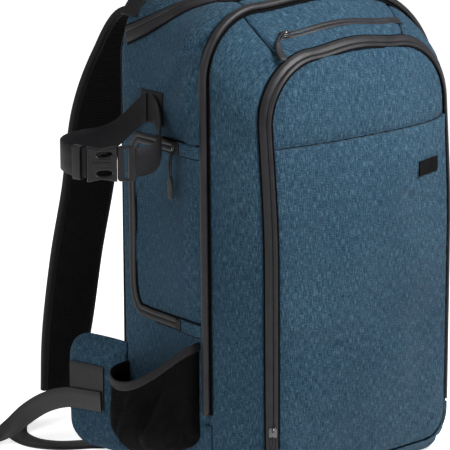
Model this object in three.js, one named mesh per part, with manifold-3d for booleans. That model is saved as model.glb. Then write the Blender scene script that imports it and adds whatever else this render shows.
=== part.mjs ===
// Camera backpack, standing on its base. Millimetres, +Z up, the front faces -Y.
// The origin is on the ground under the middle of the base.
import * as THREE from 'three';
import { mergeVertices } from 'three/addons/utils/BufferGeometryUtils.js';
import Module from 'manifold-3d';

const wasm = await Module();
wasm.setup();

// Body sizes
const bodyHalfWidth = 154;      // widest half width of the main compartment
const bodyHeight = 505;         // ground to the top of the lid, without its crown
const bodyDepth = 202;          // back edge to the front zip's gusset edge, at the ground
const backY = 121;              // the back edge lies this far behind the origin
const wallThickness = 5;        // padded cloth wall
const seamGap = 0.3;            // between neighbouring panels, and under what lies on them
const edgeShare = 0.72;         // depth share of the front edge trim
const edgeLean = 7;             // the front edge trim leans back this much over the height
const frontLean = 12;           // the front zip leans back this much more at the top
const crownRise = 5;            // the top edge arches up this much in the middle

// Front panel
const faceBulge = 12;           // the front face swells this far
const faceInset = 9.5;          // sideways from the gusset edge to the face edge
const faceStep = 8.5;           // forwards from the gusset edge to the face edge
const pocketEdgeShare = 0.725;  // open edge of the front slip pocket, as a share of the body's height
const pocketLip = 1.4;          // the slip pocket's edge stands out this far
const faceWall = 4;             // cloth and foam of the front face

// Back panel
const backPadThickness = 14;
const backPadEdge = 3;          // the pad's thickness at its sewn edge
const backPadInset = 1;         // the back pad's edge lies this far inside the body's edge

// Trims
const trimRadius = 4;           // rolled edge trim
const trimFlatten = 0.75;
const bandThickness = 1.2;      // coated zip tapes and bands
const bandClearance = 0.9;      // under the bands that cross folds and corners
const lidBandWidth = 17;
const faceZipWidth = 12.5;
const pocketZipWidth = 8;
const doorBandWidth = 11;
const doorStripHeight = 13;
const doorCornerRise = 24;      // height of the side door's rounded back corners
const labelWidth = 34;
const labelHeight = 15.5;
const labelThickness = 0.9;
const labelOutShare = 0.52;     // its middle, as a share of the body's half width
const labelDrop = 42;           // its middle lies this far below the slip pocket's edge

// Zip sliders and pulls
const sliderLength = 11;
const sliderWidth = 8;
const sliderHeight = 3.2;
const sliderRound = 2;
const pullCordRadius = 1.1;
const pullTabLength = 24;
const pullTabWidth = 8;
const pullTabThickness = 2.6;
const pullStandOff = 5;         // a hanging pull stands off its seat this far
const frontPullReach = 46;
const doorPullReach = 52;
const lidPullReach = 46;

// Side pocket
const pocketBulge = 47;         // the net stands this far off the side
const pocketWall = 1.6;
const rimHeight = 10;
const rimThickness = 2.6;

// Side strap loop with its buckle
const loopRadius = 49;
const loopWidth = 29;           // webbing width
const loopThickness = 2;
const loopHeightShare = 0.70;   // height of the loop's front run
const loopRise = 39;            // the loop's sewn end is this much higher
const buckleLength = 47;
const buckleWidth = 35;
const buckleThickness = 7;
const buckleRound = 5;
const slotPlay = 2;             // a strap slot is this much longer than its strap is wide
const anchorThickness = 1.6;
const anchorBorder = 4;         // the sewn patch is wider than the strap
const keeperLength = 10;
const keeperWall = 1.8;
const keeperPlay = 0.6;

// Top handle
const handleWidth = 25;
const handleThickness = 4;
const handleSpan = 250;         // between its two feet
const handleRise = 38;

// Shoulder straps
const shoulderWidth = 66;
const shoulderThickness = 11;
const shoulderReach = 130;      // the straps stand this far behind the back edge
const strapWebWidth = 25;
const strapWebThickness = 1.6;
const floorGap = 0.5;           // webbing that lies on the ground keeps this gap to it
const webSwing = 58;            // the loose webbing swings out this far beyond its strap's foot
const ladderLength = 30;
const ladderWidth = 34;
const ladderThickness = 5;

// Hip wings
const wingLength = 72;
const wingHeight = 126;
const wingThickness = 12;
const wingFoot = 7;             // its lower edge above the ground
const wingRound = 24;           // corner radius at its tip
const wingEdgeThickness = 3;
const wingFlare = 20;           // the wing's tip stands this far out sideways
const hipWebWidth = 22;
const hipTailReach = 104;       // the loose tail reaches this far behind its wing's tip
const hipBuckleLength = 42;
const hipBuckleWidth = 30;
const hipBuckleThickness = 8;

// Finishes
const finish = (color, roughness, metalness = 0) =>
  new THREE.MeshStandardMaterial({ color, roughness, metalness });
const clothFinish = () => finish(0x36566b, 0.9);
const trimFinish = () => finish(0x3c3b40, 0.45);
const meshFinish = () => finish(0x141516, 0.95);
const webbingFinish = () => finish(0x3a3a3d, 0.6);
const plasticFinish = () => finish(0x19191b, 0.4);
const netFinish = () => finish(0x121314, 0.9);
const labelFinish = () => finish(0x0c0c0e, 0.8);
const cordFinish = () => finish(0x29292c, 0.7);

const group = new THREE.Group();

function addPiece(name, geometry, material) {
  const mesh = new THREE.Mesh(geometry, material);
  mesh.name = name;
  group.add(mesh);
  return mesh;
}

const lerp = THREE.MathUtils.lerp;
const smooth = (value, low, high) => THREE.MathUtils.smoothstep(value, low, high);

// Outline of the body at each depth, seen from the front.
// depth: share of the body's depth, 0 at the back. half and the corner rounds: shares of the half width.
// bottom and top: shares of the height. The +X shoulder hangs rounder than the -X one.
const sections = [
  { depth: 0.00, half: 0.955, bottom: 0.016, top: 0.966, lowRound: 0.17, leftRound: 0.34, rightRound: 0.40 },
  { depth: 0.06, half: 0.985, bottom: 0.003, top: 0.990, lowRound: 0.18, leftRound: 0.34, rightRound: 0.42 },
  { depth: 0.30, half: 1.000, bottom: 0.000, top: 1.000, lowRound: 0.18, leftRound: 0.36, rightRound: 0.50 },
  { depth: 0.60, half: 1.000, bottom: 0.000, top: 0.990, lowRound: 0.18, leftRound: 0.39, rightRound: 0.66 },
  { depth: 0.72, half: 0.984, bottom: 0.000, top: 0.977, lowRound: 0.17, leftRound: 0.40, rightRound: 0.74 },
  { depth: 0.84, half: 0.920, bottom: 0.002, top: 0.940, lowRound: 0.17, leftRound: 0.42, rightRound: 0.56 },
  { depth: 0.94, half: 0.862, bottom: 0.010, top: 0.915, lowRound: 0.18, leftRound: 0.43, rightRound: 0.47 },
  { depth: 1.00, half: 0.808, bottom: 0.032, top: 0.905, lowRound: 0.22, leftRound: 0.43, rightRound: 0.44 },
];

// Diagonal folds of the side, fanning out behind the top of the front edge.
// fromDepth and toDepth: shares of the depth. fromHeight and toHeight: shares of the height.
const folds = [
  { fromDepth: 0.66, fromHeight: 0.91, toDepth: 0.38, toHeight: 0.82, width: 12, push: -2.2 },
  { fromDepth: 0.67, fromHeight: 0.87, toDepth: 0.45, toHeight: 0.76, width: 11, push: 1.8 },
  { fromDepth: 0.68, fromHeight: 0.83, toDepth: 0.53, toHeight: 0.73, width: 10, push: -2.0 },
];
const foldFade = 0.05;           // depth share over which the folds die away at the front edge

function sectionAt(depth) {
  const last = sections.length - 1;
  let row = sections.findIndex((section) => section.depth >= depth);
  if (row < 1) row = depth > sections[last].depth ? last : 1;
  const a = sections[row - 1];
  const b = sections[row];
  const t = (depth - a.depth) / (b.depth - a.depth);
  return {
    half: lerp(a.half, b.half, t) * bodyHalfWidth,
    bottom: lerp(a.bottom, b.bottom, t) * bodyHeight,
    top: lerp(a.top, b.top, t) * bodyHeight,
    lowRound: lerp(a.lowRound, b.lowRound, t) * bodyHalfWidth,
    leftRound: lerp(a.leftRound, b.leftRound, t) * bodyHalfWidth,
    rightRound: lerp(a.rightRound, b.rightRound, t) * bodyHalfWidth,
  };
}

// A place on a section's outline. It runs from 0 at the bottom's middle up the -X side to 5 at the
// top's middle and down the +X side to 10: 1 to 2 is the lower corner, 2 to 3 the side and 3 to 4
// the upper corner.
function outlineAt(section, place) {
  const turn = ((place % 10) + 10) % 10;
  const onLeft = turn <= 5;
  const p = onLeft ? turn : 10 - turn;
  const { half, bottom, top, lowRound } = section;
  const cornerTop = onLeft ? section.leftRound : section.rightRound;
  let x;
  let z;
  if (p < 1) {
    x = p * (half - lowRound);
    z = bottom;
  } else if (p < 2) {
    const angle = (p - 1) * Math.PI / 2;
    x = half - lowRound + lowRound * Math.sin(angle);
    z = bottom + lowRound * (1 - Math.cos(angle));
  } else if (p < 3) {
    x = half;
    z = lerp(bottom + lowRound, top - cornerTop, p - 2);
  } else if (p < 4) {
    const angle = (p - 3) * Math.PI / 2;
    x = half - cornerTop + cornerTop * Math.cos(angle);
    z = top - cornerTop + cornerTop * Math.sin(angle);
  } else {
    x = (5 - p) * (half - cornerTop);
    z = top + crownRise * (1 - (5 - p) ** 2);
  }
  return { x: onLeft ? -x : x, z };
}

// How far the front leans back at a height
function leanAt(depth, z) {
  const height = z / bodyHeight;
  const beyondEdge = THREE.MathUtils.clamp((depth - edgeShare) / (1 - edgeShare), 0, 1);
  return edgeLean * height * Math.min(1, depth / edgeShare)
    + frontLean * beyondEdge * smooth(height, 0.5, 0.92);
}

function foldPush(depth, z) {
  let push = 0;
  for (const fold of folds) {
    const ax = fold.fromDepth * bodyDepth;
    const az = fold.fromHeight * bodyHeight;
    const dx = fold.toDepth * bodyDepth - ax;
    const dz = fold.toHeight * bodyHeight - az;
    const px = depth * bodyDepth - ax;
    const pz = z - az;
    const along = (px * dx + pz * dz) / (dx * dx + dz * dz);
    if (along < 0 || along > 1) continue;
    const across = Math.hypot(px - along * dx, pz - along * dz);
    push += fold.push * Math.exp(-((across / fold.width) ** 2)) * Math.sin(Math.PI * along);
  }
  return push * smooth(edgeShare - depth, 0, foldFade);
}

// The body's outer surface at a place and a depth share
function skinBase(place, depth) {
  const { x, z } = outlineAt(sectionAt(depth), place);
  const onSide = smooth(Math.abs(x), bodyHalfWidth * 0.9, bodyHalfWidth * 0.98);
  const outwards = Math.sign(x) * foldPush(depth, z) * onSide;
  return new THREE.Vector3(x + outwards, backY - depth * bodyDepth + leanAt(depth, z), z);
}

function skinNormal(place, depth) {
  const step = 0.02;
  const along = skinBase(place + step, depth).sub(skinBase(place - step, depth));
  const deeper = skinBase(place, Math.min(1, depth + step)).sub(skinBase(place, Math.max(0, depth - step)));
  return deeper.cross(along).normalize();
}

function skin(place, depth, lift = 0) {
  const point = skinBase(place, depth);
  return lift === 0 ? point : point.addScaledVector(skinNormal(place, depth), lift);
}

// A closed slab: pointAt(u, v, side) gives its outer face for side 1 and its inner face for side 0
function slab(stepsU, stepsV, pointAt) {
  const positions = [];
  const indices = [];
  const index = (side, i, j) => side * (stepsU + 1) * (stepsV + 1) + i * (stepsV + 1) + j;
  for (const side of [0, 1]) {
    for (let i = 0; i <= stepsU; i += 1) {
      for (let j = 0; j <= stepsV; j += 1) {
        const point = pointAt(i / stepsU, j / stepsV, side);
        positions.push(point.x, point.y, point.z);
      }
    }
  }
  const quad = (a, b, c, d) => indices.push(a, b, c, a, c, d);
  for (let i = 0; i < stepsU; i += 1) {
    for (let j = 0; j < stepsV; j += 1) {
      quad(index(1, i, j), index(1, i + 1, j), index(1, i + 1, j + 1), index(1, i, j + 1));
      quad(index(0, i, j), index(0, i, j + 1), index(0, i + 1, j + 1), index(0, i + 1, j));
    }
  }
  for (let i = 0; i < stepsU; i += 1) {
    quad(index(0, i, 0), index(0, i + 1, 0), index(1, i + 1, 0), index(1, i, 0));
    quad(index(1, i, stepsV), index(1, i + 1, stepsV), index(0, i + 1, stepsV), index(0, i, stepsV));
  }
  for (let j = 0; j < stepsV; j += 1) {
    quad(index(1, 0, j), index(1, 0, j + 1), index(0, 0, j + 1), index(0, 0, j));
    quad(index(0, stepsU, j), index(0, stepsU, j + 1), index(1, stepsU, j + 1), index(1, stepsU, j));
  }
  const geometry = new THREE.BufferGeometry();
  geometry.setAttribute('position', new THREE.Float32BufferAttribute(positions, 3));
  geometry.setIndex(indices);
  return facingOut(geometry);
}

// Turns a closed mesh's faces outwards where it was built inside out
function facingOut(geometry) {
  const position = geometry.getAttribute('position');
  const order = geometry.getIndex().array;
  const a = new THREE.Vector3();
  const b = new THREE.Vector3();
  const c = new THREE.Vector3();
  let volume = 0;
  for (let i = 0; i < order.length; i += 3) {
    a.fromBufferAttribute(position, order[i]);
    b.fromBufferAttribute(position, order[i + 1]);
    c.fromBufferAttribute(position, order[i + 2]);
    volume += a.dot(b.cross(c));
  }
  if (volume < 0) {
    for (let i = 0; i < order.length; i += 3) {
      [order[i + 1], order[i + 2]] = [order[i + 2], order[i + 1]];
    }
  }
  return geometry;
}

// A ring of points swept along frames, with flat ends
function sweep(frames, ring) {
  const positions = [];
  const indices = [];
  const count = ring.length;
  for (const frame of frames) {
    for (const [across, out] of ring) {
      const point = frame.point.clone()
        .addScaledVector(frame.side, across * (frame.width ?? 1))
        .addScaledVector(frame.normal, out * (frame.thickness ?? 1));
      positions.push(point.x, point.y, point.z);
    }
  }
  for (let i = 0; i < frames.length - 1; i += 1) {
    for (let j = 0; j < count; j += 1) {
      const k = (j + 1) % count;
      const a = i * count;
      const b = (i + 1) * count;
      indices.push(a + j, a + k, b + k, a + j, b + k, b + j);
    }
  }
  const end = (frames.length - 1) * count;
  for (let j = 1; j < count - 1; j += 1) {
    indices.push(0, j + 1, j);
    indices.push(end, end + j, end + j + 1);
  }
  const geometry = new THREE.BufferGeometry();
  geometry.setAttribute('position', new THREE.Float32BufferAttribute(positions, 3));
  geometry.setIndex(indices);
  return facingOut(geometry);
}

// Frames along a curve, whose normals point as outwardAt says
function framesAlong(curve, steps, outwardAt, sizeAt = () => ({})) {
  const frames = [];
  for (let i = 0; i <= steps; i += 1) {
    const t = i / steps;
    const tangent = curve.getTangent(t);
    const outward = outwardAt(t);
    const side = new THREE.Vector3().crossVectors(tangent, outward).normalize();
    const normal = new THREE.Vector3().crossVectors(side, tangent).normalize();
    frames.push({ point: curve.getPoint(t), side, normal, ...sizeAt(t) });
  }
  return frames;
}

const flatRing = (width, thickness) => [
  [-width / 2, -thickness / 2], [width / 2, -thickness / 2],
  [width / 2, thickness / 2], [-width / 2, thickness / 2],
];

function roundRing(width, thickness, sides) {
  const ring = [];
  for (let i = 0; i < sides; i += 1) {
    const angle = 2 * Math.PI * (i + 0.5) / sides;
    ring.push([Math.cos(angle) * width / 2, Math.sin(angle) * thickness / 2]);
  }
  return ring;
}

// A closed mesh as a solid for cutting, and back
function solidOf(geometry) {
  const bare = geometry.clone();
  bare.deleteAttribute('normal');
  bare.deleteAttribute('uv');
  const merged = mergeVertices(bare);
  return new wasm.Manifold(new wasm.Mesh({
    numProp: 3,
    vertProperties: merged.getAttribute('position').array,
    triVerts: Uint32Array.from(merged.getIndex().array),
  }));
}

function cutOut(geometry, tools) {
  const solid = tools.reduce((rest, tool) => rest.subtract(solidOf(tool)), solidOf(geometry));
  const { vertProperties, triVerts } = solid.getMesh();
  const result = new THREE.BufferGeometry();
  result.setAttribute('position', new THREE.Float32BufferAttribute(vertProperties, 3));
  result.setIndex([...triVerts]);
  return result;
}

const through = (points) => new THREE.CatmullRomCurve3(points, false, 'centripetal');

// Sets a mesh built in its own XY plane on a place: its X along xAxis, its Z along outward
function stand(mesh, point, xAxis, outward) {
  const z = outward.clone().normalize();
  const y = new THREE.Vector3().crossVectors(z, xAxis).normalize();
  const x = new THREE.Vector3().crossVectors(y, z);
  mesh.quaternion.setFromRotationMatrix(new THREE.Matrix4().makeBasis(x, y, z));
  mesh.position.copy(point);
}

// Body panels

// A padded wall panel between two places, with a row at each depth. Both places may change with depth.
function wallPanel(name, placeFrom, placeTo, depths, steps) {
  const rows = depths.length - 1;
  const geometry = slab(steps, rows, (u, v, side) => {
    const depth = depths[Math.round(v * rows)];
    return skin(lerp(placeFrom(depth), placeTo(depth), u), depth, side === 1 ? 0 : -wallThickness);
  });
  return addPiece(name, geometry, clothFinish());
}

const depthGap = seamGap / 2 / bodyDepth;
const placeGap = seamGap / (bodyHalfWidth * 0.28);   // a seam's half gap in a corner, as a place
const fixedPlace = (place) => () => place;

const bottomSeam = 1.5;
const lidFrontDepth = 0.56;      // the lid's zip crosses the top here
const lidFrontPlace = 4.0;

// Where the lid's zip runs: its place on the outline at each depth share
const lidSeam = [
  { depth: 0.00, place: 3.08 },
  { depth: 0.15, place: 3.17 },
  { depth: 0.31, place: 3.35 },
  { depth: 0.45, place: 3.67 },
  { depth: 0.52, place: 3.86 },
  { depth: 0.56, place: 4.00 },
];

function lidPlace(depth) {
  if (depth >= lidFrontDepth - depthGap) return lidFrontPlace;
  const row = Math.max(1, lidSeam.findIndex((seam) => seam.depth >= depth));
  const a = lidSeam[row - 1];
  const b = lidSeam[row];
  return lerp(a.place, b.place, (depth - a.depth) / (b.depth - a.depth));
}

const mirrored = (place) => 10 - place;
const lidDepths = [depthGap, 0.06, 0.15, 0.31, 0.45, 0.52, lidFrontDepth - depthGap];
const topEdgeDepths = [lidFrontDepth + depthGap, 0.60, 0.66, edgeShare - depthGap];
const sideDepths = [...lidDepths, ...topEdgeDepths];
const frontDepths = [edgeShare + depthGap, 0.84, 0.94, 1 - depthGap];

wallPanel('side_panel_left', fixedPlace(bottomSeam + placeGap), (depth) => lidPlace(depth) - placeGap,
  sideDepths, 18);
wallPanel('side_panel_right', fixedPlace(mirrored(bottomSeam + placeGap)),
  (depth) => mirrored(lidPlace(depth) - placeGap), sideDepths, 18);
wallPanel('bottom_panel', fixedPlace(-bottomSeam + placeGap), fixedPlace(bottomSeam - placeGap),
  sideDepths, 10);
wallPanel('lid_panel', (depth) => lidPlace(depth) + placeGap,
  (depth) => mirrored(lidPlace(depth) + placeGap), lidDepths, 20);
wallPanel('top_edge_panel', fixedPlace(lidFrontPlace + placeGap),
  fixedPlace(mirrored(lidFrontPlace + placeGap)), topEdgeDepths, 8);

// Front gusset, between the edge trim and the front zip
const frontShare = (depth) => (depth - edgeShare) / (1 - edgeShare);
const topSeamLeft = (depth) => lerp(3.84, 3.72, frontShare(depth));
const topSeamRight = (depth) => mirrored(lerp(3.72, 3.91, frontShare(depth)));
wallPanel('front_gusset_left', fixedPlace(bottomSeam + placeGap), (depth) => topSeamLeft(depth) - placeGap,
  frontDepths, 16);
wallPanel('front_gusset_right', fixedPlace(mirrored(bottomSeam + placeGap)),
  (depth) => topSeamRight(depth) + placeGap, frontDepths, 16);
wallPanel('front_gusset_top', (depth) => topSeamLeft(depth) + placeGap,
  (depth) => topSeamRight(depth) - placeGap, frontDepths, 8);
wallPanel('front_gusset_bottom', fixedPlace(-bottomSeam + placeGap), fixedPlace(bottomSeam - placeGap),
  frontDepths, 10);

// Front face, inside the front zip
const faceOutline = (() => {
  const edge = sectionAt(1);
  return {
    half: edge.half - faceInset,
    bottom: edge.bottom + faceInset,
    top: edge.top - faceInset,
    lowRound: edge.lowRound - faceInset / 2,
    leftRound: edge.leftRound - faceInset / 2,
    rightRound: edge.rightRound - faceInset / 2,
  };
})();

// Half width of the face at a height, on the side that the corner belongs to
function faceHalfAt(z, cornerTop) {
  const { half, bottom, top, lowRound } = faceOutline;
  if (z > top - cornerTop) {
    const rise = Math.min(cornerTop, z - (top - cornerTop));
    return half - cornerTop + Math.sqrt(cornerTop ** 2 - rise ** 2);
  }
  if (z < bottom + lowRound) {
    const drop = Math.min(lowRound, bottom + lowRound - z);
    return half - lowRound + Math.sqrt(lowRound ** 2 - drop ** 2);
  }
  return half;
}

function facePoint(x, z, lift = 0) {
  const { half, bottom, top } = faceOutline;
  const across = Math.min(1, Math.abs(x) / half);
  const up = Math.abs(2 * (z - bottom) / (top - bottom) - 1);
  const swell = faceBulge * (1 - across ** 2.4) * (1 - Math.min(1, up) ** 5);
  return new THREE.Vector3(x, backY - bodyDepth + leanAt(1, z) - faceStep - swell - lift, z);
}

function facePanel(name, zFrom, zTo, crown, stepsAcross, stepsUp, lift) {
  const geometry = slab(stepsAcross, stepsUp, (u, v, side) => {
    const level = lerp(zFrom, zTo, v);
    const x = lerp(-faceHalfAt(level, faceOutline.leftRound), faceHalfAt(level, faceOutline.rightRound), u);
    const z = level + crown * v * (1 - (2 * u - 1) ** 2);
    return facePoint(x, z, side === 1 ? lift(v) : -faceWall);
  });
  return addPiece(name, geometry, clothFinish());
}

const pocketEdgeHeight = pocketEdgeShare * bodyHeight;
facePanel('front_upper_panel', pocketEdgeHeight + seamGap, faceOutline.top, crownRise, 12, 6, () => 0);
facePanel('front_lower_panel', faceOutline.bottom, pocketEdgeHeight, 0, 12, 10,
  (v) => pocketLip * smooth(v, 0.93, 1));

// Back panel: a padded panel with a sunk channel down its middle
const channelDepthShare = 0.55;  // of the pad's swell
const channelHalfShare = 0.16;   // of the half width

function backPadHalfAt(x, z) {
  const edge = sectionAt(0);
  const round = x < 0 ? edge.leftRound : edge.rightRound;
  const rise = Math.max(0, z - (edge.top - backPadInset - round));
  const drop = Math.max(0, edge.bottom + backPadInset + edge.lowRound - z);
  return edge.half - backPadInset
    + Math.sqrt(Math.max(0, round ** 2 - rise ** 2)) - round
    + Math.sqrt(Math.max(0, edge.lowRound ** 2 - drop ** 2)) - edge.lowRound;
}

// How far back the pad's face lies at a place on it
function backPadFace(x, z) {
  const edge = sectionAt(0);
  const across = Math.abs(x) / backPadHalfAt(x, z);
  const up = Math.abs(2 * (z - edge.bottom - backPadInset) / (edge.top - edge.bottom - 2 * backPadInset) - 1);
  const swell = (1 - Math.min(1, across) ** 6) * (1 - Math.min(1, up) ** 10);
  const channel = channelDepthShare * Math.exp(-((across / channelHalfShare) ** 2));
  return backY + seamGap + backPadEdge + (backPadThickness - backPadEdge) * swell * (1 - channel);
}

const backPanel = slab(12, 11, (u, v, side) => {
  const edge = sectionAt(0);
  const z = lerp(edge.bottom + backPadInset, edge.top - backPadInset, v);
  const sideways = 2 * u - 1;
  const x = sideways * backPadHalfAt(sideways, z);
  return new THREE.Vector3(x, side === 1 ? backPadFace(x, z) : backY + seamGap, z);
});
addPiece('back_panel', backPanel, meshFinish());

// Trims on the body

// A band that lies on the skin along a path of places and depths
function skinBand(name, path, steps, ring, thickness, material, clearance = seamGap) {
  const lift = clearance + thickness / 2;
  const points = path.map(([place, depth]) => skin(place, depth, lift));
  const normals = through(path.map(([place, depth]) => skinNormal(place, depth)));
  const frames = framesAlong(through(points), steps, (t) => normals.getPoint(t).normalize());
  return addPiece(name, sweep(frames, ring), material);
}

function placesAlong(from, to, count, depth) {
  const path = [];
  for (let i = 0; i <= count; i += 1) path.push([lerp(from, to, i / count), depth]);
  return path;
}

// Rolled trim round the front edge, open at the foot
const trimFoot = 2.16;
const trimRing = roundRing(2 * trimRadius, 2 * trimRadius * trimFlatten, 6);
skinBand('edge_trim', placesAlong(trimFoot, mirrored(trimFoot), 40, edgeShare), 36, trimRing,
  2 * trimRadius * trimFlatten, trimFinish(), bandClearance);

// The lid's zip band, from low on one side up, across the top's front and down the other side
const lidBandDepths = [0.08, 0.15, 0.26, 0.36, 0.44, 0.50, 0.535];
const lidBandPlaces = [3.93, 4.3, 4.65];
const topMiddle = 5;
const lidHalfPath = [
  ...lidBandDepths.map((depth) => [lidPlace(depth), depth]),
  ...lidBandPlaces.map((place) => [place, lidFrontDepth]),
];
const lidPath = [
  ...lidHalfPath,
  [topMiddle, lidFrontDepth],
  ...lidHalfPath.map(([place, depth]) => [mirrored(place), depth]).reverse(),
];
skinBand('lid_zip_band', lidPath, 36, flatRing(lidBandWidth, bandThickness), bandThickness, trimFinish(),
  bandClearance);

// Frames on the slope between the front gusset and the front face, from one place to another
function slopeFrames(from, to, steps, lift) {
  const middles = [];
  const sides = [];
  for (let i = 0; i <= steps; i += 1) {
    const place = lerp(from, to, i / steps);
    const outer = skinBase(place, 1);
    const edge = outlineAt(faceOutline, place);
    const inner = facePoint(edge.x, edge.z);
    middles.push(outer.clone().add(inner).multiplyScalar(0.5));
    sides.push(inner.sub(outer).normalize());
  }
  return middles.map((middle, i) => {
    const tangent = middles[Math.min(steps, i + 1)].clone().sub(middles[Math.max(0, i - 1)]);
    const normal = new THREE.Vector3().crossVectors(sides[i], tangent).normalize();
    return { point: middle.addScaledVector(normal, lift), side: sides[i], normal };
  });
}

const zipFoot = 2.03;
addPiece('front_zip_band', sweep(slopeFrames(zipFoot, mirrored(zipFoot), 42, seamGap + bandThickness / 2),
  flatRing(faceZipWidth, bandThickness)), trimFinish());
const footReach = zipFoot - placeGap;
addPiece('front_foot_strip', sweep(slopeFrames(-footReach, footReach, 26, seamGap + bandThickness / 2),
  flatRing(faceZipWidth, bandThickness)), clothFinish());

// Zip of the small pocket on top of the front gusset
const topPocketDepth = 0.885;
const topPocketFrom = 3.93;
const topPocketTo = mirrored(3.83);
skinBand('top_pocket_zip', placesAlong(topPocketFrom, topPocketTo, 8, topPocketDepth), 12,
  flatRing(pocketZipWidth, bandThickness), bandThickness, trimFinish());

// Side door on the -X side: its zip band, and the two cloth strips that end it
const doorTop = 0.709 * bodyHeight;
const doorBottom = 0.349 * bodyHeight;
const doorFrontDepth = 0.52;
const doorBackDepth = 0.13;
const doorStripStart = doorFrontDepth + 2 * depthGap;
const doorStripEnd = 0.68;

function sidePlaceAt(z, depth) {
  const section = sectionAt(depth);
  const low = section.bottom + section.lowRound;
  const high = section.top - section.leftRound;
  return 2 + (z - low) / (high - low);
}

// One long run of the door's zip with its corner. inward: share of the corner's rise.
const doorRunStops = [
  { depth: doorFrontDepth, inward: 0 },
  { depth: 0.40, inward: 0 },
  { depth: 0.26, inward: 0 },
  { depth: 0.17, inward: 0.17 },
  { depth: doorBackDepth, inward: 1 },
];
const doorRun = (z, inwards) =>
  doorRunStops.map(({ depth, inward }) => [z + inwards * inward * doorCornerRise, depth]);
const doorPath = [
  ...doorRun(doorTop, -1),
  [(doorTop + doorBottom) / 2, doorBackDepth],
  ...doorRun(doorBottom, 1).reverse(),
].map(([z, depth]) => [sidePlaceAt(z, depth), depth]);
skinBand('side_door_zip', doorPath, 30, flatRing(doorBandWidth, bandThickness), bandThickness, trimFinish(),
  bandClearance);

const stripRing = flatRing(doorStripHeight, bandThickness);
for (const [name, z] of [['side_door_strip_upper', doorTop], ['side_door_strip_lower', doorBottom]]) {
  const path = [doorStripStart, 0.58, 0.63, doorStripEnd].map((depth) => [sidePlaceAt(z, depth), depth]);
  skinBand(name, path, 3, stripRing, bandThickness, clothFinish(), bandClearance);
}

// Blank woven label on the slip pocket
const label = slab(4, 2, (u, v, side) => {
  const x = labelOutShare * bodyHalfWidth + (u - 0.5) * labelWidth;
  const z = pocketEdgeHeight - labelDrop + (v - 0.5) * labelHeight;
  return facePoint(x, z, seamGap + (side === 1 ? labelThickness : 0));
});
addPiece('blank_label', label, labelFinish());

// Zip sliders and pulls

function roundedRect(width, height, radius) {
  const shape = new THREE.Shape();
  const x = width / 2 - radius;
  const y = height / 2 - radius;
  shape.absarc(x, -y, radius, -Math.PI / 2, 0, false);
  shape.absarc(x, y, radius, 0, Math.PI / 2, false);
  shape.absarc(-x, y, radius, Math.PI / 2, Math.PI, false);
  shape.absarc(-x, -y, radius, Math.PI, 1.5 * Math.PI, false);
  return shape;
}

function plate(shape, thickness, curveSegments = 3) {
  const geometry = new THREE.ExtrudeGeometry(shape, { depth: thickness, bevelEnabled: false, curveSegments });
  geometry.translate(0, 0, -thickness / 2);
  return geometry;
}

const leftward = new THREE.Vector3(-1, 0, 0);
const rightward = new THREE.Vector3(1, 0, 0);
const upward = new THREE.Vector3(0, 0, 1);
const downward = new THREE.Vector3(0, 0, -1);
const bandTop = bandClearance + bandThickness;  // a band's outer face above the skin
const sliderMiddle = seamGap + sliderHeight / 2;

// A slider on a band, and a pull hanging from it: a cord that ends in a flat tab
function zipPull(name, seat, along, outward, hang) {
  const sliderShape = roundedRect(sliderLength, sliderWidth, sliderRound);
  const slider = addPiece(`${name}_slider`, plate(sliderShape, sliderHeight, 2), plasticFinish());
  const middle = seat.clone().addScaledVector(outward, sliderMiddle);
  stand(slider, middle, along, outward);
  const run = along.clone().projectOnPlane(outward).normalize();
  const start = middle.clone().addScaledVector(run, sliderLength / 2 + seamGap + pullCordRadius / 2);
  const curve = through([start, ...hang]);
  const cordShare = 1 - pullTabLength / curve.getLength();
  const tabShare = (t) => smooth(t, cordShare, cordShare + 0.05);
  const frames = framesAlong(curve, 9, () => outward, (t) => ({
    width: lerp(2 * pullCordRadius, pullTabWidth, tabShare(t)),
    thickness: lerp(2 * pullCordRadius, pullTabThickness, tabShare(t)),
  }));
  addPiece(`${name}_pull`, sweep(frames, roundRing(1, 1, 6)), cordFinish());
}

// Points that hang below a seat. drop: share of the reach. out: share of the stand-off.
const hangDown = (seat, outward, reach, stops) => stops.map(({ drop, out }) =>
  seat.clone().addScaledVector(downward, drop * reach).addScaledVector(outward, out * pullStandOff));

// Stops of the top pocket's pull, on the skin.
// lift: share of the tab's width. fall: share of its thickness.
const topPullStops = [
  { place: 3.83, depth: 0.915, lift: 0.5, fall: 0 },
  { place: 3.75, depth: 0.955, lift: 0.5, fall: 0 },
  { place: 3.67, depth: 1.000, lift: 1.0, fall: 1 },
];
const topSliderPlace = 3.99;
const topSliderAlong = skinBase(topSliderPlace - 0.02, topPocketDepth)
  .sub(skinBase(topSliderPlace + 0.02, topPocketDepth)).normalize();
zipPull('top_pocket', skin(topSliderPlace, topPocketDepth, bandTop), topSliderAlong,
  skinNormal(topSliderPlace, topPocketDepth), topPullStops.map(({ place, depth, lift, fall }) =>
    skin(place, depth, lift * pullTabWidth).addScaledVector(downward, fall * pullTabThickness)));

const frontSliderPlace = 2.09;
const [frontSlot] = slopeFrames(frontSliderPlace, frontSliderPlace + 0.02, 1, bandTop);
zipPull('front', frontSlot.point, downward, frontSlot.normal,
  hangDown(frontSlot.point, frontSlot.normal, frontPullReach, [
    { drop: 0.30, out: 0.9 }, { drop: 0.52, out: 0.9 }, { drop: 1.00, out: 1.0 },
  ]));

const doorSliderDepth = 0.5;
const doorSlot = skin(sidePlaceAt(doorTop, doorSliderDepth), doorSliderDepth, bandTop);
zipPull('side_door', doorSlot, downward, leftward,
  hangDown(doorSlot, leftward, doorPullReach, [
    { drop: 0.27, out: 1.1 }, { drop: 0.50, out: 1.1 }, { drop: 1.00, out: 1.0 },
  ]));

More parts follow.
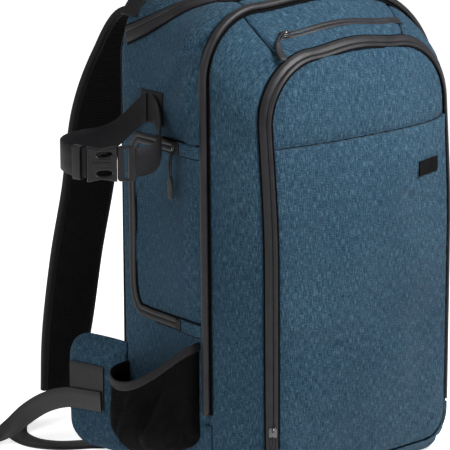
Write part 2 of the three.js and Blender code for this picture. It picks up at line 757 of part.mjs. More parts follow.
const lidSliderDepth = 0.12;
const lidSlot = skin(mirrored(lidPlace(lidSliderDepth)), lidSliderDepth, bandTop);
zipPull('lid', lidSlot, downward, skinNormal(mirrored(lidPlace(lidSliderDepth)), lidSliderDepth),
  hangDown(lidSlot, rightward, lidPullReach, [
    { drop: 0.30, out: 1.4 }, { drop: 0.56, out: 1.4 }, { drop: 1.00, out: 1.1 },
  ]));

// Side pocket of net on the -X side

const pocketBackDepth = 0.07;    // depth shares of its two sewn edges
const pocketFrontDepth = 0.66;
const rimBackShare = 0.226;      // heights of its rim and foot, as shares of the body's height
const rimFrontShare = 0.326;
const footBackShare = 0.026;
const footFrontShare = 0.130;

// A point of the pocket. along: 0 at its back edge, 1 at its front edge. swell: share of the bulge.
function pocketPoint(along, z, swell, proud) {
  const angle = Math.PI * along;
  const middle = (pocketBackDepth + pocketFrontDepth) / 2;
  const depth = middle - (pocketFrontDepth - pocketBackDepth) / 2 * Math.cos(angle);
  const section = sectionAt(depth);
  const seat = skinBase(sidePlaceAt(Math.max(z, section.bottom + section.lowRound), depth), depth);
  const out = seamGap + (pocketBulge * swell + proud) * Math.sin(angle) ** 0.85;
  return new THREE.Vector3(seat.x - out, seat.y + proud * Math.cos(angle), z);
}

const rimTopAt = (along) => bodyHeight * lerp(rimBackShare, rimFrontShare, smooth(along, 0.3, 1) ** 1.6);
const pocketFootAt = (along) => bodyHeight * lerp(footBackShare, footFrontShare, along ** 1.5);

addPiece('side_pocket_net', slab(14, 7, (u, v, side) => {
  const z = lerp(pocketFootAt(u), rimTopAt(u) - rimHeight - seamGap, v ** 1.4);
  const swell = Math.sqrt(smooth(v, -0.02, 0.55)) * lerp(0.94, 1, v);
  return pocketPoint(u, z, swell, side === 1 ? pocketWall : 0);
}), netFinish());
addPiece('side_pocket_rim', slab(14, 1, (u, v, side) =>
  pocketPoint(u, rimTopAt(u) - rimHeight * (1 - v), 1, side === 1 ? rimThickness : 0)), webbingFinish());

// Strap loop on the -X side, fastened, standing open above the pocket

const loopSeatDepth = 0.31;
const loopFrontHeight = loopHeightShare * bodyHeight;
const loopSeat = skin(sidePlaceAt(loopFrontHeight + loopRise, loopSeatDepth), loopSeatDepth);
const loopOffset = seamGap + anchorThickness + seamGap + loopThickness / 2 + loopRadius;
const loopCentre = new THREE.Vector3(loopSeat.x - loopOffset, loopSeat.y, loopFrontHeight);
const degrees = THREE.MathUtils.degToRad;

const ringDirection = (angle) => new THREE.Vector3(Math.cos(degrees(angle)), Math.sin(degrees(angle)), 0);

// A point of the loop at an angle seen from above, 0 at its sewn end. The loop falls away from there.
function loopPoint(angle, radius = loopRadius) {
  const point = loopCentre.clone().addScaledVector(ringDirection(angle), radius);
  point.z += loopRise * Math.max(0, Math.cos(degrees(angle))) ** 4;
  return point;
}

function loopBand(name, from, to, steps) {
  const frames = [];
  for (let i = 0; i <= steps; i += 1) {
    const angle = lerp(from, to, i / steps);
    frames.push({ point: loopPoint(angle), side: upward, normal: ringDirection(angle) });
  }
  return addPiece(name, sweep(frames, flatRing(loopWidth, loopThickness)), webbingFinish());
}

const buckleAngle = 234;
const loopSewnAngle = 6;         // half of the small gap between the two straps at the sewn end
const buckleHalf = buckleLength / 2 + seamGap;
const buckleHalfAngle = THREE.MathUtils.radToDeg(Math.asin(buckleHalf / loopRadius));
loopBand('side_strap_long', loopSewnAngle, buckleAngle - buckleHalfAngle, 20);
loopBand('side_strap_short', -loopSewnAngle, buckleAngle + buckleHalfAngle - 360, 14);
const anchorHalfDepth = (loopWidth / 2 + anchorBorder) / bodyDepth;
addPiece('side_strap_anchor', slab(3, 2, (u, v, side) => {
  const depth = loopSeatDepth + (2 * u - 1) * anchorHalfDepth;
  const z = loopSeat.z + (v - 0.5) * (loopWidth + anchorBorder);
  return skin(sidePlaceAt(z, depth), depth, seamGap + (side === 1 ? anchorThickness : 0));
}), webbingFinish());

// A box for cutting, on the middle of a plate unless moved
function slotBox(width, height, thickness, x = 0, y = 0) {
  const box = new THREE.BoxGeometry(width, height, 2 * thickness);
  box.translate(x, y, 0);
  return box;
}

// Side-release buckle: the socket with its two side windows, and the tongue with its strap slot
const socketShare = 0.62;        // of the buckle's length
const socketWindow = { length: 0.54, width: 0.20, offset: 0.27, shift: 0.10 };  // shares of the socket
const tongueThinning = 0.75;     // the tongue's thickness, as a share of the socket's
const socketLength = buckleLength * socketShare;
const tongueLength = buckleLength - socketLength - seamGap;
const windowLength = socketLength * socketWindow.length;
const windowHeight = buckleWidth * socketWindow.width;
const windowOffset = buckleWidth * socketWindow.offset;
const slotWidth = 4.5;
const windowTool = (y) => {
  const tool = new THREE.CylinderGeometry(0.5, 0.5, 2 * buckleThickness, 8);
  tool.rotateX(Math.PI / 2);
  tool.scale(windowLength, windowHeight, 1);
  tool.translate(socketLength * socketWindow.shift, y, 0);
  return tool;
};
const socketPlate = cutOut(plate(roundedRect(socketLength, buckleWidth, buckleRound), buckleThickness),
  [windowTool(windowOffset), windowTool(-windowOffset)]);
const tongueThickness = buckleThickness * tongueThinning;
const tonguePlate = cutOut(plate(roundedRect(tongueLength, buckleWidth, buckleRound / 2), tongueThickness),
  [slotBox(slotWidth, loopWidth + slotPlay, buckleThickness)]);

const buckleOut = ringDirection(buckleAngle);
const buckleAlong = new THREE.Vector3(-buckleOut.y, buckleOut.x, 0);
const strapEndRadius = loopRadius * Math.cos(degrees(buckleHalfAngle));
const buckleMiddle = loopPoint(buckleAngle, strapEndRadius + buckleThickness / 2);
const onBuckle = (along) => buckleMiddle.clone().addScaledVector(buckleAlong, along);
stand(addPiece('side_buckle_socket', socketPlate, plasticFinish()),
  onBuckle((socketLength - buckleLength) / 2), buckleAlong, buckleOut);
stand(addPiece('side_buckle_tongue', tonguePlate, plasticFinish()),
  onBuckle((buckleLength - tongueLength) / 2), buckleAlong, buckleOut);

// Keeper that slides on the strap beside the buckle
const keeperAngle = 193;
const keeperBore = [loopThickness + 2 * keeperPlay, loopWidth + 2 * keeperPlay];
const [keeperX, keeperY] = keeperBore.map((size) => size + 2 * keeperWall);
const keeperBody = plate(roundedRect(keeperX, keeperY, keeperWall / 2), keeperLength, 1);
const keeper = addPiece('side_strap_keeper', cutOut(keeperBody, [slotBox(...keeperBore, keeperLength)]),
  plasticFinish());
const keeperOut = ringDirection(keeperAngle);
stand(keeper, loopPoint(keeperAngle), keeperOut, new THREE.Vector3(-keeperOut.y, keeperOut.x, 0));

// Top handle, sewn down near both upper corners of the back edge

const handleY = backY - handleWidth / 2;
const handleFrontDepth = handleWidth / bodyDepth;
const handleLift = seamGap + handleThickness / 2;
const handleFootPlace = 3.34;
const handleBendPlace = 3.5;
// out: share of the span. drop: share of the rise, below the handle's top.
const handleArch = [{ out: 0.43, drop: 0.52 }, { out: 0.27, drop: 0.15 }];
const handleTop = skinBase(topMiddle, handleFrontDepth).z + handleRise - handleThickness / 2;

// One half of the handle's route, from its foot up. The route lies in one upright plane.
function handleHalf(turn, sign) {
  const foot = (place, lift) => {
    const point = skin(turn(place), handleFrontDepth, lift);
    return new THREE.Vector3(point.x, handleY, point.z);
  };
  const arch = handleArch.map(({ out, drop }) =>
    new THREE.Vector3(sign * handleSpan * out, handleY, handleTop - handleRise * drop));
  return [foot(handleFootPlace, handleLift), foot(handleBendPlace, handleLift + seamGap), ...arch];
}

const handleRoute = [
  ...handleHalf((place) => place, -1),
  new THREE.Vector3(0, handleY, handleTop),
  ...handleHalf(mirrored, 1).reverse(),
];
const handleFace = (t) => new THREE.Vector3(-Math.cos(Math.PI * t), 0, 0.4 + Math.sin(Math.PI * t));
addPiece('top_handle', sweep(framesAlong(through(handleRoute), 30, handleFace),
  flatRing(handleWidth, handleThickness)), webbingFinish());

// Shoulder straps, as they stand off the back unworn

// out: share of the half width. behind: share of the reach. height: share of the body's height.
// broad: share of the strap's width. The first row is the sewn end, which lies on the back panel.
const shoulderRows = [
  { out: 0.42, behind: 0.175, height: 0.880, broad: 0.86 },
  { out: 0.45, behind: 0.240, height: 0.932, broad: 0.92 },
  { out: 0.52, behind: 0.430, height: 0.918, broad: 1.00 },
  { out: 0.61, behind: 0.610, height: 0.830, broad: 1.00 },
  { out: 0.70, behind: 0.735, height: 0.715, broad: 1.00 },
  { out: 0.76, behind: 0.810, height: 0.535, broad: 1.00 },
  { out: 0.82, behind: 0.885, height: 0.390, broad: 1.00 },
  { out: 0.88, behind: 0.950, height: 0.210, broad: 0.95 },
  { out: 0.93, behind: 0.985, height: 0.085, broad: 0.72 },
];
const sideSigns = { left: -1, right: 1 };

function shoulderPoint(row, sign) {
  const y = backY + row.behind * shoulderReach;
  return new THREE.Vector3(sign * row.out * bodyHalfWidth, y, row.height * bodyHeight);
}

function shoulderRoute(sign) {
  const points = shoulderRows.map((row) => shoulderPoint(row, sign));
  points[0].y = backPadFace(points[0].x, points[0].z) + shoulderThickness / 2;
  return points;
}

const webLift = floorGap + strapWebThickness / 2;
const lockMiddleOut = shoulderThickness / 2 + seamGap + ladderThickness / 2;
const ladderOverhang = 0.1;      // share of its length below the strap's foot

// A stop of a webbing's route, and the way that the webbing's outer side faces there
const webStop = (point, ...face) => ({ point, face: new THREE.Vector3(...face) });

function webbing(name, stops, steps, width) {
  const route = through(stops.map((stop) => stop.point));
  const faces = through(stops.map((stop) => stop.face));
  const frames = framesAlong(route, steps, (t) => faces.getPoint(t));
  addPiece(name, sweep(frames, flatRing(width, strapWebThickness)), webbingFinish());
  return route;
}

// The webbing from the strap's foot down to the ground and back to the body's lower corner.
// Sideways and backwards its stops are shares of its swing, from the lock, the foot or the tail.
function shoulderWebStops(foot, sign) {
  const shifted = (x, y, out, behind, z) =>
    new THREE.Vector3(x + sign * out * webSwing, y + behind * webSwing, z);
  const atLock = (out, behind, z) => shifted(foot.x, foot.y + lockMiddleOut, out, behind, z);
  const atFoot = (out, behind, z) => shifted(foot.x, foot.y, out, behind, z);
  const tailX = sign * (bodyHalfWidth - strapWebWidth);
  const tailFace = backPadFace(tailX - sign * strapWebWidth / 2, strapWebWidth)
    + seamGap + strapWebThickness / 2;
  const atTail = (out, behind, z) => shifted(tailX, tailFace, out, behind, z);
  const raised = (share) => webLift + share * strapWebWidth;
  return [
    webStop(atLock(0.02, 0.00, foot.z - ladderLength * ladderOverhang - seamGap), sign * 0.1, 1, 0),
    webStop(atLock(0.03, 0.02, foot.z * 0.76), sign * 0.2, 1, 0),
    webStop(atLock(0.24, 0.14, foot.z * 0.50), sign * 0.6, 0.8, 0.4),
    webStop(atFoot(0.62, 0.31, raised(0.32)), sign * 0.4, 0.3, 0.9),
    webStop(atFoot(0.93, 0.14, raised(0.08)), 0, 0, 1),
    webStop(atFoot(1.00, -0.45, webLift), 0, 0, 1),
    webStop(atFoot(0.72, -0.93, webLift), 0, 0, 1),
    webStop(atTail(0.45, 0.79, webLift), 0, 0, 1),
    webStop(atTail(0.14, 0.52, raised(0.06)), 0, 0, 1),
    webStop(atTail(0.02, 0.24, raised(0.28)), 0, 0.6, 0.8),
    webStop(atTail(0.00, 0.035, raised(0.79)), 0, 1, 0.2),
    webStop(atTail(0.00, 0.00, raised(1.43)), 0, 1, 0),
  ];
}

const ladderShape = roundedRect(ladderLength, ladderWidth, buckleRound / 2);
const ladderPlate = cutOut(plate(ladderShape, ladderThickness, 2), [
  slotBox(slotWidth, strapWebWidth + slotPlay, ladderThickness, ladderLength / 4),
  slotBox(slotWidth, strapWebWidth + slotPlay, ladderThickness, -ladderLength / 4),
]);

for (const [sideName, sign] of Object.entries(sideSigns)) {
  const curve = through(shoulderRoute(sign));
  const broadAt = (t) => {
    const at = t * (shoulderRows.length - 1);
    const row = Math.min(shoulderRows.length - 2, Math.floor(at));
    return lerp(shoulderRows[row].broad, shoulderRows[row + 1].broad, at - row);
  };
  const frames = framesAlong(curve, 20, (t) => curve.getTangent(t).cross(rightward),
    (t) => ({ width: shoulderWidth * broadAt(t) }));
  addPiece(`shoulder_strap_${sideName}`, sweep(frames, roundRing(1, shoulderThickness, 8)), meshFinish());

  const foot = curve.getPoint(1);
  const footAlong = curve.getTangent(1);
  const behind = new THREE.Vector3().crossVectors(rightward, footAlong).normalize();
  if (behind.y < 0) behind.negate();
  const lockMiddle = foot.clone().addScaledVector(footAlong, ladderLength * (ladderOverhang - 0.5))
    .addScaledVector(behind, lockMiddleOut);
  const lock = addPiece(`ladder_lock_${sideName}`, ladderPlate.clone(), plasticFinish());
  stand(lock, lockMiddle, footAlong, behind);
  webbing(`shoulder_web_${sideName}`, shoulderWebStops(foot, sign), 30, strapWebWidth);
}

// Hip wings on the lower back corners, each with a coated band and a webbing tail

const wingSeatDepth = 0.05;      // depth share of its sewn edge
const wingSeat = skinBase(sidePlaceAt(sectionAt(wingSeatDepth).bottom + sectionAt(wingSeatDepth).lowRound,
  wingSeatDepth), wingSeatDepth);

// low and high: shares of the wing's height. from and to: shares of its length.
const hipBandShares = { low: 0.37, high: 0.76, from: 0.30, to: 0.88 };
const hipWebShare = 0.47;        // the webbing's height on the wing, as a share of the wing's height

// A point of a wing. along: 0 at its sewn edge, 1 at its tip.
function wingPoint(sign, along, z, proud) {
  const x = Math.abs(wingSeat.x) + seamGap + wingFlare * along ** 1.5 + proud;
  return new THREE.Vector3(sign * x, wingSeat.y + wingLength * along, z);
}

function wingEdges(along) {
  const toTip = (1 - along) * wingLength;
  const cut = toTip < wingRound ? wingRound - Math.sqrt(wingRound ** 2 - (wingRound - toTip) ** 2) : 0;
  return { low: wingFoot + cut, high: wingFoot + wingHeight - cut };
}

function wingThicknessAt(along, up) {
  const belly = (1 - (2 * up - 1) ** 4) * (1 - (2 * along - 1) ** 6);
  return lerp(wingEdgeThickness, wingThickness, belly) * smooth(along, -0.4, 0.35);
}

for (const [sideName, sign] of Object.entries(sideSigns)) {
  addPiece(`hip_wing_${sideName}`, slab(9, 6, (u, v, side) => {
    const { low, high } = wingEdges(u);
    return wingPoint(sign, u, lerp(low, high, v), side === 1 ? wingThicknessAt(u, v) : 0);
  }), clothFinish());

  const bandLow = wingFoot + wingHeight * hipBandShares.low;
  const bandHigh = wingFoot + wingHeight * hipBandShares.high;
  addPiece(`hip_band_${sideName}`, slab(5, 2, (u, v, side) => {
    const proud = wingThickness + seamGap + (side === 1 ? bandThickness : 0);
    return wingPoint(sign, lerp(hipBandShares.from, hipBandShares.to, u), lerp(bandLow, bandHigh, v), proud);
  }), trimFinish());

  const webHeight = wingFoot + wingHeight * hipWebShare;
  const webProud = wingThickness + seamGap + bandThickness + bandClearance + strapWebThickness / 2;
  const onWing = (along) => wingPoint(sign, along, webHeight - hipWebWidth / 4 * along, webProud);
  const tip = onWing(1);
  const past = (out, behind, z) =>
    new THREE.Vector3(tip.x + sign * out * hipTailReach, tip.y + behind * hipTailReach, z);
  const route = webbing(`hip_web_${sideName}`, [
    webStop(onWing(0.32), sign, 0, 0),
    webStop(onWing(0.6), sign, 0, 0),
    webStop(onWing(0.92), sign, -0.1, 0),
    webStop(past(0.08, 0.17, webHeight * 0.77), sign, -0.4, 0),
    webStop(past(0.17, 0.35, webHeight * 0.56), sign * 0.9, -0.5, 0.2),
    webStop(past(0.31, 0.52, webHeight * 0.26), sign * 0.6, -0.4, 0.7),
    webStop(past(0.42, 0.63, webLift + hipWebWidth * 0.23), sign * 0.2, -0.2, 1),
    webStop(past(0.52, 0.81, webLift + hipWebWidth * 0.02), 0, 0, 1),
    webStop(past(0.52, 1.00, webLift), 0, 0, 1),
  ], 24, hipWebWidth);

  const hipShape = roundedRect(hipBuckleLength, hipBuckleWidth, buckleRound);
  const hipPlate = cutOut(plate(hipShape, hipBuckleThickness, 2),
    [slotBox(slotWidth, hipWebWidth + slotPlay, hipBuckleThickness, slotWidth - hipBuckleLength / 2)]);
  const webEnd = route.getPoint(1);
  const webAlong = route.getTangent(1).setZ(0).normalize();
  const hipMiddle = webEnd.clone().addScaledVector(webAlong, hipBuckleLength / 2 + seamGap);
  hipMiddle.z = floorGap + hipBuckleThickness / 2;
  stand(addPiece(`hip_buckle_${sideName}`, hipPlate, plasticFinish()), hipMiddle, webAlong, upward);
}

export default group;
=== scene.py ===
import math

import bmesh
import bpy
import numpy as np
from mathutils import Matrix, Vector
from mathutils.bvhtree import BVHTree


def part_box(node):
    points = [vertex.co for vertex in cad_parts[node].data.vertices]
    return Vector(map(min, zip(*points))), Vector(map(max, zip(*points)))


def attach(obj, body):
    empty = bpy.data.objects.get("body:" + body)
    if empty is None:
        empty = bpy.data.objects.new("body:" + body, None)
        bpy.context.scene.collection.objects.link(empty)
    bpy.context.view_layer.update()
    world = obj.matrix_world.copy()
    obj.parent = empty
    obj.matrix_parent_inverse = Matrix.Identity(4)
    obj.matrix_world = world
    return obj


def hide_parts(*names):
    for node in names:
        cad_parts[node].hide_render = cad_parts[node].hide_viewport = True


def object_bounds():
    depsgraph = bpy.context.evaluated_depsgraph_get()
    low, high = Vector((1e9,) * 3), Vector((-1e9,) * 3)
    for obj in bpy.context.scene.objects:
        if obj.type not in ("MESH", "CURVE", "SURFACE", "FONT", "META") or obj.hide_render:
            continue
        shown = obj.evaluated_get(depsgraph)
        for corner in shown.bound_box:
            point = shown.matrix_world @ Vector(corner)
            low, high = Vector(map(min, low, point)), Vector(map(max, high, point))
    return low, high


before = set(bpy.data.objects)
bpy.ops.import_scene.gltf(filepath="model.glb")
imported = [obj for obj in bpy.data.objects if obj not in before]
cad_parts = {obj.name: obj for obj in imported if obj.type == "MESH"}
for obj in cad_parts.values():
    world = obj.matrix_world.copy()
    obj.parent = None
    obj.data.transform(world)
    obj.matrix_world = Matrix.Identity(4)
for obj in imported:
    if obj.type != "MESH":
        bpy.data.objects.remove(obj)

# Camera backpack. Metres, +Z up, the front faces -Y.
cadLow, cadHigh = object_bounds()
scene = bpy.context.scene
scene.view_settings.view_transform = "Standard"
mm = 0.001
seamGap = 0.3 * mm  # between neighbouring panels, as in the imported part

# Camera, seen from the front and the bag's own right, a little above
view = {"azimuth": -39.3, "elevation": 15.3, "distance": 2.170, "target": (-0.1124, 0.0, 0.276),
        "focalPixels": 2173, "imagePixels": 450, "sensor": 36.0}


def awayFrom(azimuth, elevation):
    turn, rise = math.radians(azimuth), math.radians(elevation)
    return Vector((math.sin(turn) * math.cos(rise), -math.cos(turn) * math.cos(rise), math.sin(rise)))


def makeCamera():
    data = bpy.data.cameras.new("camera")
    data.sensor_width = view["sensor"]
    data.lens = view["sensor"] * view["focalPixels"] / view["imagePixels"]
    camera = bpy.data.objects.new("camera", data)
    scene.collection.objects.link(camera)
    back = awayFrom(view["azimuth"], view["elevation"])
    camera.location = Vector(view["target"]) + back * view["distance"]
    camera.rotation_euler = (-back).to_track_quat("-Z", "Y").to_euler()
    scene.camera = camera


# Studio: a pale floor, a near white surround and three soft lights
studio = {
    "worldStrength": 0.30,
    "floorSize": 24.0,
    "floorColor": (0.93, 0.93, 0.93),
    "floorGlow": 0.72,
    "floorLevel": -0.2 * mm,
    "lights": (
        # name, azimuth, elevation, distance, size, power
        ("keyLight", 12.0, 42.0, 0.92, 0.4, 13.0),
        ("fillLight", -95.0, 32.0, 2.2, 1.2, 17.0),
        ("topLight", 150.0, 66.0, 2.2, 1.2, 3.0),
    ),
}


def makeStudio():
    world = bpy.data.worlds.new("studio")
    world.use_nodes = True
    background = world.node_tree.nodes["Background"]
    background.inputs["Color"].default_value = (1, 1, 1, 1)
    background.inputs["Strength"].default_value = studio["worldStrength"]
    scene.world = world
    half = studio["floorSize"] / 2
    mesh = bpy.data.meshes.new("floor")
    corners = [(x * half, y * half, studio["floorLevel"]) for x, y in ((-1, -1), (1, -1), (1, 1), (-1, 1))]
    mesh.from_pydata(corners, [], [(0, 1, 2, 3)])
    floor = bpy.data.objects.new("floor", mesh)
    scene.collection.objects.link(floor)
    material, tree, shader = newMaterial("floorPaint", 0.9)
    shader.inputs["Base Color"].default_value = (*studio["floorColor"], 1)
    shader.inputs["Specular IOR Level"].default_value = 0.1
    shader.inputs["Emission Color"].default_value = (1, 1, 1, 1)
    shader.inputs["Emission Strength"].default_value = studio["floorGlow"]
    mesh.materials.append(material)
    middle = (cadLow + cadHigh) / 2
    for name, azimuth, elevation, distance, size, power in studio["lights"]:
        data = bpy.data.lights.new(name, "AREA")
        data.shape = "DISK"
        data.size = size
        data.energy = power
        light = bpy.data.objects.new(name, data)
        scene.collection.objects.link(light)
        back = awayFrom(azimuth, elevation)
        light.location = middle + back * distance
        light.rotation_euler = (-back).to_track_quat("-Z", "Y").to_euler()


# Small helpers for materials
def newMaterial(name, roughness):
    material = bpy.data.materials.new(name)
    material.use_nodes = True
    shader = material.node_tree.nodes["Principled BSDF"]
    shader.inputs["Roughness"].default_value = roughness
    return material, material.node_tree, shader


def addNode(tree, kind, inputs=(), **settings):
    made = tree.nodes.new(kind)
    for key, value in settings.items():
        setattr(made, key, value)
    for socket, value in dict(inputs).items():
        if isinstance(value, bpy.types.NodeSocket):
            tree.links.new(value, made.inputs[socket])
        else:
            made.inputs[socket].default_value = value
    return made


def calculate(tree, operation, first, second=0.0):
    return addNode(tree, "ShaderNodeMath", {0: first, 1: second}, operation=operation).outputs[0]


def scaled(tree, vector, scale):
    return addNode(tree, "ShaderNodeVectorMath", {0: vector, 1: scale}, operation="MULTIPLY").outputs[0]


def noise(tree, vector, scale=1.0, detail=2.0):
    made = addNode(tree, "ShaderNodeTexNoise", {"Vector": vector, "Scale": scale, "Detail": detail})
    return made.outputs[0]


def ramp(tree, factor, stops):
    made = addNode(tree, "ShaderNodeValToRGB", {0: factor})
    elements = made.color_ramp.elements
    while len(elements) < len(stops):
        elements.new(0.5)
    for element, (position, color) in zip(elements, stops):
        element.position = position
        element.color = (*color, 1)
    return made.outputs[0]


def bumped(tree, shader, height, distance, strength=1.0):
    made = addNode(tree, "ShaderNodeBump", {"Height": height, "Distance": distance, "Strength": strength})
    tree.links.new(made.outputs[0], shader.inputs["Normal"])


def weaveCoordinates(tree):
    return addNode(tree, "ShaderNodeUVMap", uv_map="weave").outputs[0]


def objectCoordinates(tree):
    return addNode(tree, "ShaderNodeTexCoord").outputs["Object"]


# Crossed threads, as a height from 0 to 1
def threads(tree, vector, acrossPitch, alongPitch):
    turns = scaled(tree, vector, (2 * math.pi / acrossPitch, 2 * math.pi / alongPitch, 0))
    split = addNode(tree, "ShaderNodeSeparateXYZ", {0: turns})
    across = calculate(tree, "SINE", split.outputs[0])
    along = calculate(tree, "SINE", split.outputs[1])
    product = calculate(tree, "MULTIPLY", across, along)
    return calculate(tree, "MULTIPLY_ADD", product, 0.5)


# Blue melange cloth: a plain weave whose threads change colour along their length
clothLook = {
    # share of the tone, and its colour there
    "tones": ((0.39, (0.0058, 0.0190, 0.0345)), (0.50, (0.0132, 0.0352, 0.0580)),
              (0.61, (0.0390, 0.0800, 0.1130))),
    "warpFleck": (1250.0, 125.0, 1.0), "weftFleck": (190.0, 1150.0, 1.0), "fleckDetail": 1.5,
    "warpShare": 0.52, "weftShare": 0.38, "cloudShare": 0.10, "cloudScale": 9.0,
    "threadPitch": 0.9 * mm, "roughness": 0.86, "sheen": 0.03, "sheenRoughness": 0.5, "specular": 0.08,
    "bump": 0.22 * mm,
}


def clothMaterial(name):
    material, tree, shader = newMaterial(name, clothLook["roughness"])
    weave = weaveCoordinates(tree)
    warp = noise(tree, scaled(tree, weave, clothLook["warpFleck"]), detail=clothLook["fleckDetail"])
    weft = noise(tree, scaled(tree, weave, clothLook["weftFleck"]), detail=clothLook["fleckDetail"])
    cloud = noise(tree, objectCoordinates(tree), clothLook["cloudScale"], 1.0)
    flecks = calculate(tree, "ADD", calculate(tree, "MULTIPLY", warp, clothLook["warpShare"]),
                       calculate(tree, "MULTIPLY", weft, clothLook["weftShare"]))
    tone = calculate(tree, "ADD", flecks, calculate(tree, "MULTIPLY", cloud, clothLook["cloudShare"]))
    tree.links.new(ramp(tree, tone, clothLook["tones"]), shader.inputs["Base Color"])
    shader.inputs["Sheen Weight"].default_value = clothLook["sheen"]
    shader.inputs["Sheen Roughness"].default_value = clothLook["sheenRoughness"]
    shader.inputs["Specular IOR Level"].default_value = clothLook["specular"]
    crossing = threads(tree, weave, clothLook["threadPitch"], clothLook["threadPitch"])
    height = calculate(tree, "ADD", calculate(tree, "MULTIPLY", crossing, 0.5), flecks)
    bumped(tree, shader, height, clothLook["bump"])
    return material


# Coated tape: dark grey and smooth, with a fine leathery grain
coatedLook = {
    "tones": ((0.35, (0.0085, 0.0082, 0.0096)), (0.7, (0.0140, 0.0136, 0.0154))), "roughness": (0.38, 0.50),
    "grainScale": 1500.0, "wearScale": 60.0, "specular": 0.2, "bump": 0.08 * mm,
}


def coatedMaterial():
    smoothest, roughest = coatedLook["roughness"]
    material, tree, shader = newMaterial("coatedTape", smoothest)
    place = objectCoordinates(tree)
    grain = noise(tree, place, coatedLook["grainScale"], 2.0)
    wear = noise(tree, place, coatedLook["wearScale"], 3.0)
    tree.links.new(ramp(tree, wear, coatedLook["tones"]), shader.inputs["Base Color"])
    shader.inputs["Specular IOR Level"].default_value = coatedLook["specular"]
    tree.links.new(addNode(tree, "ShaderNodeMapRange", {0: wear, 3: smoothest, 4: roughest}).outputs[0],
                   shader.inputs["Roughness"])
    bumped(tree, shader, grain, coatedLook["bump"])
    return material


# Webbing: crossed ribs of thick threads, with a little fuzz. Its colour follows the fuzz and the rib height,
# so the rib tops are painted lighter and the gaps darker as painted shade
webbingLook = {
    "acrossPitch": 2.2 * mm, "alongPitch": 1.5 * mm, "fuzz": (1800.0, 500.0, 1.0), "ribShare": 0.4,
    "fuzzShare": 0.6, "sheen": 0.02, "bump": 0.25 * mm,
}


def webbingMaterial(name, dark, light, roughness, specular):
    material, tree, shader = newMaterial(name, roughness)
    shader.inputs["Specular IOR Level"].default_value = specular
    weave = weaveCoordinates(tree)
    ribs = threads(tree, weave, webbingLook["acrossPitch"], webbingLook["alongPitch"])
    fuzz = noise(tree, scaled(tree, weave, webbingLook["fuzz"]))
    tone = calculate(tree, "ADD", calculate(tree, "MULTIPLY", ribs, webbingLook["ribShare"]),
                     calculate(tree, "MULTIPLY", fuzz, webbingLook["fuzzShare"]))
    # colour from the bump's own height: random fuzz, plus painted shade between the ribs
    tree.links.new(ramp(tree, tone, [(0.3, dark), (0.75, light)]), shader.inputs["Base Color"])
    shader.inputs["Sheen Weight"].default_value = webbingLook["sheen"]
    bumped(tree, shader, tone, webbingLook["bump"])
    return material


# Black spacer mesh with small round pits, painted darker in the pits as painted shade
spacerLook = {
    "tones": ((0.1, (0.0015, 0.0015, 0.002)), (0.8, (0.007, 0.007, 0.0078))), "roughness": 0.92,
    "pitScale": 330.0, "pitSpread": 0.25, "pitEdges": (0.1, 0.55), "specular": 0.05, "sheen": 0.05,
    "sheenRoughness": 0.4, "bump": 0.7 * mm,
}


def spacerMaterial():
    material, tree, shader = newMaterial("spacerMesh", spacerLook["roughness"])
    place = objectCoordinates(tree)
    pits = addNode(tree, "ShaderNodeTexVoronoi",
                   {"Vector": place, "Scale": spacerLook["pitScale"], "Randomness": spacerLook["pitSpread"]})
    floor, rim = spacerLook["pitEdges"]
    depth = addNode(tree, "ShaderNodeMapRange", {0: pits.outputs[0], 1: floor, 2: rim}).outputs[0]
    # the pits' colour is darker: painted shade in them
    tree.links.new(ramp(tree, depth, spacerLook["tones"]), shader.inputs["Base Color"])
    shader.inputs["Specular IOR Level"].default_value = spacerLook["specular"]
    shader.inputs["Sheen Weight"].default_value = spacerLook["sheen"]
    shader.inputs["Sheen Roughness"].default_value = spacerLook["sheenRoughness"]
    bumped(tree, shader, depth, spacerLook["bump"])
    return material


# Fine diagonal ribs of the stretch net, their tops painted lighter and the grooves darker as painted shade
netLook = {
    "tones": ((0.2, (0.0005, 0.0005, 0.0007)), (0.95, (0.0038, 0.0038, 0.0044))), "roughness": 0.75,
    "ribPitch": 2.4 * mm, "ribSlant": 0.8, "specular": 0.04, "bump": 0.5 * mm,
}


def netClothAndShadeMaterial():
    material, tree, shader = newMaterial("netClothAndShade", netLook["roughness"])
    split = addNode(tree, "ShaderNodeSeparateXYZ", {0: weaveCoordinates(tree)})
    slant = calculate(tree, "ADD", split.outputs[0],
                      calculate(tree, "MULTIPLY", split.outputs[1], netLook["ribSlant"]))
    ribs = calculate(tree, "SINE", calculate(tree, "MULTIPLY", slant, 2 * math.pi / netLook["ribPitch"]))
    height = calculate(tree, "MULTIPLY_ADD", ribs, 0.5)
    # colour from the rib height: painted shade in the grooves
    tree.links.new(ramp(tree, height, netLook["tones"]), shader.inputs["Base Color"])
    shader.inputs["Specular IOR Level"].default_value = netLook["specular"]
    bumped(tree, shader, height, netLook["bump"])
    return material


# Plain materials of small parts, with slow wear in the tone and a fine grain
def plainMaterial(name, dark, light, roughness, grainScale, bump, specular):
    material, tree, shader = newMaterial(name, roughness)
    place = objectCoordinates(tree)
    grain = noise(tree, place, grainScale, 3.0)
    wear = noise(tree, place, 90.0, 2.0)
    tree.links.new(ramp(tree, wear, [(0.3, dark), (0.7, light)]), shader.inputs["Base Color"])
    shader.inputs["Specular IOR Level"].default_value = specular
    bumped(tree, shader, grain, bump)
    return material


makeCamera()
makeStudio()
print("stage: camera, floor and lights")

